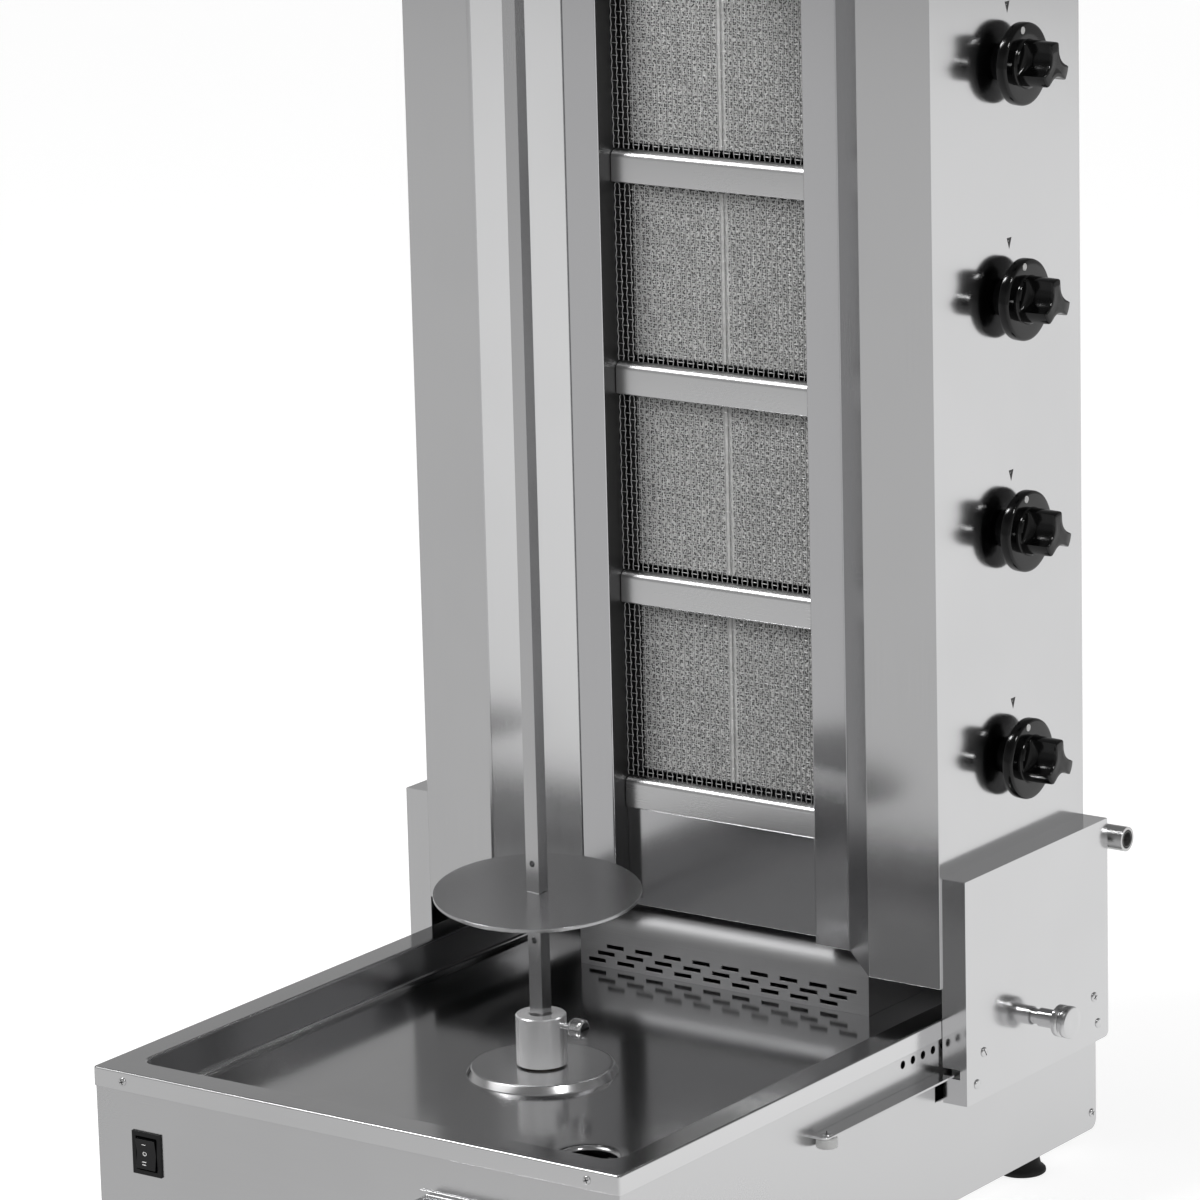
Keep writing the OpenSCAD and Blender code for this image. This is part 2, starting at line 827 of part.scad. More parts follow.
module drive_shaft() {
    color([0.68, 0.69, 0.7])
        rod_z(shaft_r, 0, spit_y, [gearbox_z1 - gear_bore_d + shaft_foot_gap, hub_z + hub_seat]);
}

// Spit: hub with a square socket, the bar, its disc and the thumb screw

module bar_prism(side, z0, z1) {
    translate([-side / 2, spit_y - side / 2, z0]) cube([side, side, z1 - z0]);
}

module spit_socket() {
    color([0.78, 0.79, 0.8]) difference() {
        translate([0, spit_y, 0]) rotate_extrude()
            polygon([[0, hub_z], [hub_r, hub_z], [hub_r, hub_top_z - hub_edge],
                [hub_r - hub_edge, hub_top_z], [0, hub_top_z]]);
        rod_z(shaft_r + shaft_play, 0, spit_y, [hub_z - over, hub_z + hub_seat]);
        bar_prism(spit_s + 2 * bar_play, hub_z + hub_seat + over, hub_top_z + over);
        rod_z(hub_recess_r, 0, spit_y, [hub_top_z - hub_recess_d, hub_top_z + over]);
        rod_x(thumb_r + shaft_play, [0, hub_r + over], spit_y, thumb_z);
    }
}

module spit_bar() {
    color([0.82, 0.83, 0.84]) difference() {
        union() {
            bar_prism(spit_s, hub_z + hub_seat + over + bar_seat_gap, bar_top);
            rod_z(spigot_r, 0, spit_y, [bar_top, bar_top + spigot_l]);
        }
        for (z = [cross_hole_z, cross_hole_high_z])
            rod_y(cross_hole_r, 0, [spit_y - spit_s / 2 - over, spit_y + spit_s / 2 + over], z);
    }
}

module disc_collar() {
    color([0.7, 0.71, 0.72]) difference() {
        rod_z(collar_r, 0, spit_y, [collar_top - collar_h, collar_top]);
        bar_prism(spit_s + 2 * seat_play, collar_top - collar_h - over, collar_top + over);
    }
}

module meat_disc() {
    color([0.8, 0.81, 0.82]) translate([0, spit_y, disc_z])
        rotate([0, 0, lean_dir]) rotate([0, disc_lean, 0]) rotate([0, 0, -lean_dir]) difference() {
            cylinder(h = disc_t, r = disc_r);
            translate([-spit_s / 2 - disc_play, -spit_s / 2 - disc_play, -over])
                cube([spit_s + 2 * disc_play, spit_s + 2 * disc_play, disc_t + 2 * over]);
        }
}

module thumb_screw() {
    tip = spit_s / 2 + shaft_play;
    head = hub_r + thumb_neck;
    color([0.75, 0.76, 0.77]) difference() {
        union() {
            rod_x(thumb_r, [tip, head], spit_y, thumb_z);
            rod_x(thumb_head_r - thumb_rim, [head, head + thumb_head_l], spit_y, thumb_z);
            rod_x(thumb_head_r, [head + thumb_rim, head + thumb_head_l - thumb_rim], spit_y, thumb_z);
        }
        slab([head + thumb_head_l - thumb_slot_d, head + thumb_head_l + over],
            [spit_y - thumb_head_r - over, spit_y + thumb_head_r + over],
            [thumb_z - thumb_slot_w / 2, thumb_z + thumb_slot_w / 2]);
    }
}

// Side rails: flat ledges on the walls, and the round stops under their front ends

module slide_rails() {
    color([0.72, 0.73, 0.74]) both_sides() translate([0, 0, rail_z]) linear_extrude(rail_h) {
        translate([cab_half_w, rail_y0 + rail_end_r]) square([rail_w, rail_y1 - rail_y0 - rail_end_r]);
        translate([cab_half_w, rail_y0]) square([rail_w - rail_end_r, rail_end_r + over]);
        translate([rail_x1 - rail_end_r, rail_y0 + rail_end_r]) circle(rail_end_r);
    }
}

module rail_stops() {
    color([0.92, 0.92, 0.9]) both_sides() rod_z(stop_r, cab_half_w + stop_in, stop_y, [rail_z - stop_h, rail_z]);
}

// Tower columns: folded channels, open to the back panel

// Unit vector and the vector square to it, to its right
function unit(v) = v / norm(v);
function right_of(v) = [v[1], -v[0]];

// Point i of a path, moved a sheet's thickness to the path's right
function mitre(p, i, t) =
    let (n = len(p) - 1,
        a = right_of(unit(i == 0 ? p[1] - p[0] : p[i] - p[i - 1])),
        b = right_of(unit(i == n ? p[n] - p[n - 1] : p[i + 1] - p[i])))
    p[i] + t * (a + b) / (1 + a * b);

// Outline of a folded sheet, from the path of its outer face
function sheet_of(p, t) = concat(p, [for (i = [len(p) - 1 : -1 : 0]) mitre(p, i, t)]);

// Outer face of a column: side, front, splayed wing, and the lap along the burner housing
column_path = [[tower_half_w, back_y], [tower_half_w, tower_y], [col_in, tower_y], [house_half_w, house_y],
    [house_half_w, house_y + wing_lap]];

module column_shell() {
    translate([0, 0, tower_z]) linear_extrude(cap_z - tower_z) polygon(sheet_of(column_path, sheet_t));
    translate([0, 0, tower_z]) linear_extrude(sheet_t)
        polygon([[tower_half_w, back_y], [tower_half_w, tower_y], [col_in, tower_y], [house_half_w, house_y],
            [house_half_w, back_y]]);
}

module column_left() {
    color([0.76, 0.77, 0.78]) mirror([1, 0, 0]) column_shell();
}

module column_right() {
    color([0.76, 0.77, 0.78]) difference() {
        column_shell();
        for (i = [0 : burners - 1]) {
            rod_x(spindle_hole_r, [tower_half_w - sheet_t - over, tower_half_w + over], knob_y, knob_z + i * knob_pitch);
            // small triangle engraved over each knob
            along_x([tower_half_w - mark_d, tower_half_w + over])
                translate([mark_y, knob_z + i * knob_pitch + mark_up])
                    polygon([[-mark_w / 2, mark_h / 2], [mark_w / 2, mark_h / 2], [0, -mark_h / 2]]);
        }
    }
}

module back_panel() {
    color([0.7, 0.71, 0.72]) difference() {
        slab([-tower_half_w, tower_half_w], [back_y, tower_rear], [tower_z, cap_z]);
        rod_y(inlet_pipe_r + pipe_play, mani_x, [back_y - over, tower_rear + over], inlet_z);
        for (i = [0 : back_slots - 1])
            slab([-cap_slot_l / 2, cap_slot_l / 2], [back_y - over, tower_rear + over],
                [back_slot_z + i * vent_pitch, back_slot_z + i * vent_pitch + vent_w]);
    }
}

module top_cap() {
    color([0.76, 0.77, 0.78]) difference() {
        translate([0, 0, cap_z]) linear_extrude(sheet_t)
            polygon(concat([[tower_half_w, tower_rear]], [for (i = [1 : 3]) column_path[i]],
                [for (i = [3 : -1 : 1]) [-column_path[i][0], column_path[i][1]]], [[-tower_half_w, tower_rear]]));
        for (i = [0 : cap_slots - 1], sx = [-1, 1])
            slab([sx * (arm_half_w + cap_slot_w) + (sx < 0 ? -cap_slot_l : 0),
                  sx * (arm_half_w + cap_slot_w) + (sx < 0 ? 0 : cap_slot_l)],
                [house_y + 2 * cap_slot_w + i * cap_slot_pitch, house_y + 3 * cap_slot_w + i * cap_slot_pitch],
                [cap_z - over, tower_top_z + over]);
        for (sx = [-1, 1], y = [arm_screw_y0, arm_screw_y1])
            rod_z(arm_screw_r + seat_play, sx * arm_screw_x, y, [cap_z - over, tower_top_z + over]);
    }
}

// Burner housing: side walls, front flanges and inner returns over a floor

module burner_housing() {
    color([0.74, 0.75, 0.76]) difference() {
        union() {
            both_sides() {
                slab([house_half_w - sheet_t, house_half_w], [house_y, back_y], [house_z, cap_z]);
                slab([window_half_w, house_half_w], [house_y, house_y + sheet_t], [house_z, cap_z]);
                slab([window_half_w, window_half_w + sheet_t], [house_y, house_y + return_d], [house_z, cap_z]);
            }
            slab([-house_half_w, house_half_w], [shield_y + sheet_t, back_y], [house_z, house_z + sheet_t]);
        }
        for (i = [0 : burners - 1])
            rod_x(pipe_r + pipe_play, [house_half_w - sheet_t - over, house_half_w + over], knob_y, knob_z + i * knob_pitch);
    }
}

module cross_bars() {
    color([0.8, 0.81, 0.82]) for (i = [0 : burners]) {
        top = bar_z + i * bar_pitch;
        along_x([-window_half_w, window_half_w]) {
            translate([bar_front_y + bar_round, top - bar_round]) circle(bar_round);
            translate([bar_front_y, top - bar_h]) square([bar_d, bar_h - bar_round]);
            translate([bar_front_y + bar_round, top - bar_h]) square([bar_d - bar_round, bar_h]);
        }
    }
}

module lower_shield() {
    color([0.74, 0.75, 0.76])
        slab([-window_half_w, window_half_w], [shield_y, shield_y + sheet_t], [house_z, bar_z - bar_h]);
}

// Burners: a box with a plenum, two ceramic plates and a wire guard each

module each_burner() {
    for (i = [0 : burners - 1]) translate([0, 0, bar_z + i * bar_pitch]) children();
}

module burner_bodies() {
    h = bar_pitch - bar_h;
    ph = plate_h / 2 + plate_gap;
    pocket_y = burn_front_y - plate_out + plate_t;
    color([0.3, 0.3, 0.31]) each_burner() difference() {
        slab([-window_half_w, window_half_w], [burn_front_y, burn_back_y], [burn_gap, h - burn_gap]);
        slab([-pocket_half_w, pocket_half_w], [burn_front_y - over, pocket_y], [h / 2 - ph, h / 2 + ph]);
        slab([plenum_in - pocket_half_w, pocket_half_w - plenum_in], [pocket_y - over, burn_back_y - burn_wall],
            [h / 2 - ph + plenum_in, h / 2 + ph - plenum_in]);
    }
}

module ceramic_plates() {
    h = bar_pitch - bar_h;
    y0 = burn_front_y - plate_out;
    color([0.86, 0.84, 0.8]) each_burner() both_sides()
        slab([plate_gap, plate_gap + plate_w], [y0, y0 + plate_t], [h / 2 - plate_h / 2, h / 2 + plate_h / 2]);
}

module mesh_guards() {
    h = bar_pitch - bar_h;
    w = 2 * window_half_w;
    fw = (w - 2 * mesh_frame + mesh_wire) / mesh_gaps_x;
    fh = (h - 2 * mesh_frame + mesh_wire) / mesh_gaps_z;
    color([0.62, 0.63, 0.64]) each_burner() translate([0, mesh_y + mesh_t, 0]) rotate([90, 0, 0])
        linear_extrude(mesh_t) difference() {
            translate([-w / 2, 0]) square([w, h]);
            for (i = [0 : mesh_gaps_x - 1], j = [0 : mesh_gaps_z - 1])
                translate([mesh_frame - w / 2 + i * fw, mesh_frame + j * fh])
                    square([fw - mesh_wire, fh - mesh_wire]);
        }
}

// Gas line: inlet, manifold in the right column, valves and pipes

module gas_manifold() {
    z1 = knob_z + (burners - 1) * knob_pitch + mani_over;
    y0 = knob_y + valve_back;
    color([0.65, 0.66, 0.67]) difference() {
        slab([mani_x - mani_w / 2, mani_x + mani_w / 2], [y0, y0 + mani_w], [mani_low_z, z1]);
        slab([mani_x - mani_w / 2 + mani_t, mani_x + mani_w / 2 - mani_t], [y0 + mani_t, y0 + mani_w - mani_t],
            [mani_low_z + mani_t, z1 - mani_t]);
        rod_y(inlet_pipe_r - pipe_t, mani_x, [y0 + mani_t, y0 + mani_w + over], inlet_z);
    }
}

module gas_valves() {
    x1 = tower_half_w - sheet_t - valve_gap;
    color([0.72, 0.6, 0.35]) for (i = [0 : burners - 1]) translate([0, 0, knob_z + i * knob_pitch]) difference() {
        slab([valve_x0, x1], [knob_y - valve_half, knob_y + valve_back], [-valve_half, valve_half]);
        rod_x(spindle_r + shaft_play, [x1 - spindle_in, x1 + over], knob_y, 0);
    }
}

module knob_bezels() {
    color([0.2, 0.2, 0.2]) for (i = [0 : burners - 1]) difference() {
        rod_x(bezel_r, [tower_half_w, tower_half_w + bezel_h], knob_y, knob_z + i * knob_pitch);
        rod_x(spindle_hole_r, [tower_half_w - over, tower_half_w + bezel_h + over], knob_y, knob_z + i * knob_pitch);
    }
}

module burner_pipes() {
    color([0.7, 0.71, 0.72]) for (i = [0 : burners - 1]) difference() {
        rod_x(pipe_r, [window_half_w, valve_x0], knob_y, knob_z + i * knob_pitch);
        rod_x(pipe_r - pipe_t, [window_half_w - over, valve_x0 + over], knob_y, knob_z + i * knob_pitch);
    }
}

module gas_inlet() {
    y0 = knob_y + valve_back + mani_w;
    yb = tower_rear + inlet_gap;
    xb = mani_x + inlet_block;
    color([0.7, 0.62, 0.4]) difference() {
        union() {
            rod_y(inlet_pipe_r, mani_x, [y0, yb], inlet_z);
            slab([mani_x - inlet_block / 2, xb], [yb, yb + inlet_block],
                [inlet_z - inlet_block / 2, inlet_z + inlet_block / 2]);
            translate([xb, yb + inlet_block / 2, inlet_z]) rotate([0, 90, 0])
                cylinder(h = inlet_nut_l, r = inlet_nut_r, $fn = 6);
            rod_x(nipple_r, [xb, xb + inlet_nut_l + nipple_len], yb + inlet_block / 2, inlet_z);
        }
        rod_x(nipple_bore_r, [mani_x, xb + inlet_nut_l + nipple_len + over], yb + inlet_block / 2, inlet_z);
        rod_y(inlet_pipe_r - pipe_t, mani_x, [y0 - over, yb + inlet_block / 2], inlet_z);
    }
}

// Knobs: a round skirt and a grip with three lobes

module knob(i) {
    grip = knob_x0 + knob_skirt_h;
    color([0.06, 0.06, 0.07]) translate([0, knob_y, knob_z + (i - 1) * knob_pitch]) difference() {
        union() {
            rod_x(knob_r, [knob_x0, grip], 0, 0);
            translate([grip, 0, 0]) rotate([90, 0, 90]) rotate(grip_turn) linear_extrude(knob_x1 - grip) difference() {
                circle(grip_r);
                for (k = [0 : grip_lobes - 1]) rotate(360 / grip_lobes * k)
                    translate([grip_bite_at, 0]) circle(grip_bite_r);
            }
        }
        rod_x(spindle_r + shaft_play, [knob_x0 - over, knob_x1 - knob_cap_t], 0, 0);
    }
}

module knob_spindle(i) {
    x1 = tower_half_w - sheet_t - valve_gap;
    color([0.7, 0.6, 0.35]) rod_x(spindle_r, [x1 - spindle_in + spindle_gap, knob_x1 - knob_cap_t - spindle_gap],
        knob_y, knob_z + (i - 1) * knob_pitch);
}

module knob_1() { knob(1); }
module knob_2() { knob(2); }
module knob_3() { knob(3); }
module knob_4() { knob(4); }
module knob_spindle_1() { knob_spindle(1); }
module knob_spindle_2() { knob_spindle(2); }
module knob_spindle_3() { knob_spindle(3); }
module knob_spindle_4() { knob_spindle(4); }

// Side plates: shallow pans on the columns that reach down past the rails

module plate_outline(inset) {
    y0 = plate_y0 + inset;
    y1 = plate_y1 - inset;
    z0 = plate_z0 + inset;
    z1 = plate_z1 - inset;
    r = plate_corner_r - inset;
    translate([y0, z0]) square([y1 - y0 - r, z1 - z0]);
    translate([y0, z0 + r]) square([y1 - y0, z1 - z0 - r]);
    translate([y1 - r, z0 + r]) circle(r);
}

module side_plates() {
    color([0.74, 0.75, 0.76]) {
        difference() {
            plate_pan();
            rod_x(neck_r + seat_play, [plate_in - over, plate_x1 + over], plunger_y, lock_z);
        }
        mirror([1, 0, 0]) plate_pan();
    }
}

module plate_pan() {
    difference() {
        along_x([tower_half_w, plate_x1]) plate_outline(0);
        along_x([tower_half_w - over, plate_in]) plate_outline(sheet_t);
        // the rail passes through the front and rear flanges
        slab([tower_half_w - over, rail_x1 + notch_play], [plate_y0 - over, plate_y1 + over],
            [rail_z - notch_play, rail_top + notch_play]);
        for (p = rivet_places)
            rod_x(rivet_shank_r + seat_play, [plate_in - over, plate_x1 + over], p[0], p[1]);
    }
}

keeper_z = rail_z - run_gap - keeper_r;
shoe_rivet_z = rail_top + run_gap + shoe_rivet_up;
rivet_places = [[shoe_y0, shoe_rivet_z], [shoe_y1, shoe_rivet_z], [keeper_y0, keeper_z], [keeper_y1, keeper_z]];

module plate_rivets() {
    color([0.8, 0.81, 0.82]) both_sides() for (p = rivet_places) {
        rod_x(rivet_r, [plate_x1, plate_x1 + rivet_head_h], p[0], p[1]);
        rod_x(rivet_shank_r, [plate_in - rivet_in, plate_x1], p[0], p[1]);
    }
}

module slide_shoes() {
    color([0.9, 0.9, 0.88]) both_sides() for (y = [shoe_y0, shoe_y1]) difference() {
        union() {
            slab([tower_half_w + shoe_side_gap, plate_in], [y - shoe_l / 2, y + shoe_l / 2],
                [rail_top + run_gap, rail_top + run_gap + shoe_h]);
            // lip outside the ledge, which keeps the tower from moving sideways
            slab([rail_x1 + run_gap, plate_in], [y - shoe_l / 2, y + shoe_l / 2],
                [rail_z + shoe_lip_gap, rail_top + run_gap]);
        }
        rod_x(rivet_shank_r + seat_play, [plate_in - rivet_in - seat_play, plate_in + over], y, shoe_rivet_z);
    }
}

module keeper_discs() {
    color([0.9, 0.9, 0.88]) both_sides() for (y = [keeper_y0, keeper_y1]) difference() {
        rod_x(keeper_r, [cab_half_w + keeper_in, plate_in], y, keeper_z);
        rod_x(rivet_shank_r + seat_play, [plate_in - rivet_in - seat_play, plate_in + over], y, keeper_z);
    }
}

// Lock plunger, drawn with its pin just clear of the wall. It springs in by pin_in at a hole

module plunger_body() {
    color([0.72, 0.73, 0.74]) difference() {
        union() {
            rod_x(neck_r, [plate_in - neck_nut_l, neck_x1], plunger_y, lock_z);
            rod_x(neck_nut_r, [plate_in - neck_nut_l, plate_in], plunger_y, lock_z);
        }
        rod_x(pin_r + shaft_play, [plate_in - neck_nut_l - over, neck_x1 + over], plunger_y, lock_z);
        rod_x(spring_cell_r, [plate_in, neck_x1 - neck_end_t], plunger_y, lock_z);
    }
}

module plunger_spring() {
    x = [plate_in + spring_end_gap, neck_x1 - neck_end_t - spring_end_gap];
    color([0.6, 0.6, 0.62]) difference() {
        rod_x(spring_r, x, plunger_y, lock_z);
        rod_x(spring_in_r, [x[0] - over, x[1] + over], plunger_y, lock_z);
    }
}

module lock_pin() {
    color([0.8, 0.81, 0.82]) rod_x(pin_r, [tip_x, head_x0], plunger_y, lock_z);
}

module pull_knob() {
    bore = neck_lap + pin_in + over;
    x1 = head_x0 + pull_len;
    color([0.78, 0.79, 0.8]) difference() {
        union() {
            rod_x(sleeve_r, [sleeve_x0, head_x0], plunger_y, lock_z);
            translate([head_x0, plunger_y, lock_z]) rotate([0, 90, 0]) rotate_extrude()
                polygon([[0, 0], [pull_r - pull_groove_lip, 0], [pull_r, pull_groove_lip],
                    [pull_r, pull_len / 2 - pull_groove_lip], [pull_r - pull_groove_r, pull_len / 2],
                    [pull_r, pull_len / 2 + pull_groove_lip], [pull_r, pull_len - pull_groove_lip],
                    [pull_r - pull_groove_lip, pull_len], [0, pull_len]]);
        }
        rod_x(neck_r + sleeve_play, [sleeve_x0 - over, sleeve_x0 + bore], plunger_y, lock_z);
        rod_x(pin_r + shaft_play, [sleeve_x0 + bore - over, head_x0], plunger_y, lock_z);
    }
}

// Arm over the spit, with a slot as long as the tower's travel

module top_arm() {
    front = spit_y - arm_nose;
    slot_hw = spigot_r + arm_slot_play;
    color([0.78, 0.79, 0.8]) difference() {
        slab([-arm_half_w, arm_half_w], [front, arm_back_y], [arm_z, arm_z + arm_t]);
        slab([-slot_hw, slot_hw], [spit_y, spit_y + tower_travel], [arm_z - over, arm_z + arm_t + over]);
        rod_z(slot_hw, 0, spit_y, [arm_z - over, arm_z + arm_t + over]);
        rod_z(slot_hw, 0, spit_y + tower_travel, [arm_z - over, arm_z + arm_t + over]);
        for (sx = [-1, 1], y = [arm_screw_y0, arm_screw_y1])
            rod_z(arm_screw_r + seat_play, sx * arm_screw_x, y, [arm_z - over, arm_z + arm_t + over]);
    }
}

module arm_screws() {
    color([0.65, 0.66, 0.67]) for (sx = [-1, 1], y = [arm_screw_y0, arm_screw_y1])
        translate([sx * arm_screw_x, y, arm_z + arm_t]) {
            cylinder(h = arm_screw_head_h, r = arm_screw_head_r, $fn = 6);
            cylinder_between(arm_screw_r, -arm_screw_len, 0);
        }
}

base_cabinet();
rear_wall();
bottom_plate();
drip_pan();
rear_cowl();
foot_pads();
foot_bolts();
switch_housing();
switch_rocker();
drawer_runners();
drawer_box();
drawer_front();
gearbox();
motor();
motor_bracket();
shaft_flange();
shaft_bearing();
drive_shaft();
spit_socket();
spit_bar();
meat_disc();
disc_collar();
thumb_screw();
slide_rails();
rail_stops();
cover_screws();
cable_gland();
column_left();
column_right();
back_panel();
top_cap();
burner_housing();
cross_bars();
lower_shield();
burner_bodies();
ceramic_plates();
mesh_guards();
gas_manifold();
gas_valves();
knob_bezels();
burner_pipes();
gas_inlet();
knob_1();
knob_2();
knob_3();
knob_4();
knob_spindle_1();
knob_spindle_2();
knob_spindle_3();
knob_spindle_4();
side_plates();
plate_rivets();
slide_shoes();
keeper_discs();
plunger_body();
plunger_spring();
lock_pin();
pull_knob();
top_arm();
arm_screws();
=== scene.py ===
# Gas doner kebab grill: looks, camera and light.
import math

import bmesh
import bpy
from mathutils import Matrix, Vector, geometry


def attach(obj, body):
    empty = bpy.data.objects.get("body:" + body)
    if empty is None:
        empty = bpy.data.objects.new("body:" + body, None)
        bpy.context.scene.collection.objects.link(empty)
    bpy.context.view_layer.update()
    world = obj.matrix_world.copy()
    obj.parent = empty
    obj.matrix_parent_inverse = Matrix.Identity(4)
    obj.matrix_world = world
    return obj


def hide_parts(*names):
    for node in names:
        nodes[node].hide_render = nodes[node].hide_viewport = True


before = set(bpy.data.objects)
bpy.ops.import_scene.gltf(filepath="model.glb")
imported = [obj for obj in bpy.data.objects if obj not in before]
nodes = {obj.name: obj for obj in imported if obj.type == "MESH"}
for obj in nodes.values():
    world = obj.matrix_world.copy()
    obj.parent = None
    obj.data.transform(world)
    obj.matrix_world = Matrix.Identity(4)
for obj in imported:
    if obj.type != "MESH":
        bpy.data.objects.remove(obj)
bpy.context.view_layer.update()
MM = 0.001

# Camera, from the vanishing lines of the photograph
LENS_MM = 184.97
CAMERA_AT = (2.7341, -3.7901, 1.6504)
VIEW_AHEAD = (-0.56789, 0.78802, -0.23775)
VIEW_RIGHT = (0.81450, 0.57966, -0.02424)
cam_data = bpy.data.cameras.new("view")
cam_data.sensor_width = 36.0
cam_data.lens = LENS_MM
cam = bpy.data.objects.new("view", cam_data)
bpy.context.scene.collection.objects.link(cam)
fwd = Vector(VIEW_AHEAD).normalized()
right = Vector(VIEW_RIGHT)
right = (right - fwd * right.dot(fwd)).normalized()
up = right.cross(fwd)
cam.matrix_world = Matrix.Translation(CAMERA_AT) @ Matrix(
    ((right.x, up.x, -fwd.x), (right.y, up.y, -fwd.y), (right.z, up.z, -fwd.z))).to_4x4()
cam_data.clip_start = 0.05
cam_data.clip_end = 60.0
bpy.context.scene.camera = cam
bpy.context.scene.view_settings.view_transform = "Standard"


# Node helpers
def new_mat(name):
    mat = bpy.data.materials.new(name)
    mat.use_nodes = True
    n, l = mat.node_tree.nodes, mat.node_tree.links
    return mat, n, l, n["Principled BSDF"]


def coords(n, l, scale, turn=(0, 0, 0)):
    """The piece's own coordinates, scaled and then turned."""
    tc = n.new("ShaderNodeTexCoord")
    mp = n.new("ShaderNodeMapping")
    mp.inputs["Scale"].default_value = scale
    mp.inputs["Rotation"].default_value = turn
    l.new(tc.outputs["Object"], mp.inputs["Vector"])
    return mp.outputs["Vector"]


def noise(n, l, vec, detail=3.0, rough=0.55):
    t = n.new("ShaderNodeTexNoise")
    t.inputs["Scale"].default_value = 1.0
    t.inputs["Detail"].default_value = detail
    t.inputs["Roughness"].default_value = rough
    l.new(vec, t.inputs["Vector"])
    return t.outputs["Fac"]


def remap(n, l, fac, lo, hi, a=0.3, b=0.7):
    m = n.new("ShaderNodeMapRange")
    m.inputs["From Min"].default_value = a
    m.inputs["From Max"].default_value = b
    m.inputs["To Min"].default_value = lo
    m.inputs["To Max"].default_value = hi
    l.new(fac, m.inputs["Value"])
    return m.outputs["Result"]


def tint(n, l, fac, dark, light):
    r = n.new("ShaderNodeValToRGB")
    r.color_ramp.elements[0].position = 0.3
    r.color_ramp.elements[1].position = 0.72
    r.color_ramp.elements[0].color = (*dark, 1)
    r.color_ramp.elements[1].color = (*light, 1)
    l.new(fac, r.inputs["Fac"])
    return r.outputs["Color"]


def bump(n, l, height, strength, dist, bsdf):
    b = n.new("ShaderNodeBump")
    b.inputs["Strength"].default_value = strength
    b.inputs["Distance"].default_value = dist
    l.new(height, b.inputs["Height"])
    l.new(b.outputs["Normal"], bsdf.inputs["Normal"])


def scalar(n, l, op, a, b):
    """One arithmetic node; a and b are sockets or numbers."""
    m = n.new("ShaderNodeMath")
    m.operation = op
    for i, v in enumerate((a, b)):
        if isinstance(v, (int, float)):
            m.inputs[i].default_value = v
        else:
            l.new(v, m.inputs[i])
    return m.outputs[0]


# grain per metre along each axis: brushed along X, Y or Z, or turned with none
FINE, LONG = 1500, 14
GRAIN = {"X": (LONG, FINE, FINE), "Y": (FINE, LONG, FINE), "Z": (FINE, FINE, LONG), "N": (500, 500, 500)}
# how much of the fine grain shows in the colour, and how strong it is in the relief
FINE_SHARE, STEEL_GRAIN = 0.35, 0.03
# depths of the reliefs, in metres
STEEL_BUMP, PLASTIC_BUMP, CERAMIC_BUMP = 0.00002, 0.00004, 0.0006
# half the width of the plain seam between two ceramic plates, in metres
SEAM_HALF_W = 0.0034


def steel(name, base, rough, axis, spread=0.05, blotch=0.03, metal=1.0):
    """Satin sheet steel with a fine grain along one axis, faint smears and small roughness changes."""
    mat, n, l, b = new_mat(name)
    b.inputs["Metallic"].default_value = metal
    fine = noise(n, l, coords(n, l, GRAIN[axis]), 4.0, 0.6)
    broad = noise(n, l, coords(n, l, (5, 5, 5)), 3.0, 0.5)
    mix = n.new("ShaderNodeMath")
    mix.operation = "MULTIPLY_ADD"
    mix.inputs[1].default_value = FINE_SHARE
    l.new(fine, mix.inputs[0])
    l.new(broad, mix.inputs[2])
    smear = mix.outputs["Value"]
    dark = tuple(max(0.0, c - blotch) for c in base)
    light = tuple(min(1.0, c + blotch * 0.6) for c in base)
    l.new(tint(n, l, smear, dark, light), b.inputs["Base Color"])
    l.new(remap(n, l, smear, rough - spread, rough + spread, 0.35, 0.95), b.inputs["Roughness"])
    bump(n, l, fine, STEEL_GRAIN, STEEL_BUMP, b)
    return mat


def plastic(name, base, rough, grain_scale=900, grain=0.1, metal=0.0, spec=0.5):
    """A moulded, cast or plated surface with an even grain and soft patches."""
    mat, n, l, b = new_mat(name)
    b.inputs["Metallic"].default_value = metal
    b.inputs["Specular IOR Level"].default_value = spec
    g = noise(n, l, coords(n, l, (grain_scale,) * 3), 3.0, 0.6)
    s = noise(n, l, coords(n, l, (22, 22, 22)), 3.0, 0.5)
    dark = tuple(c * 0.82 for c in base)
    light = tuple(min(1, c * 1.12) for c in base)
    l.new(tint(n, l, s, dark, light), b.inputs["Base Color"])
    l.new(remap(n, l, s, rough * 0.85, min(1, rough * 1.2)), b.inputs["Roughness"])
    bump(n, l, g, grain, PLASTIC_BUMP, b)
    return mat


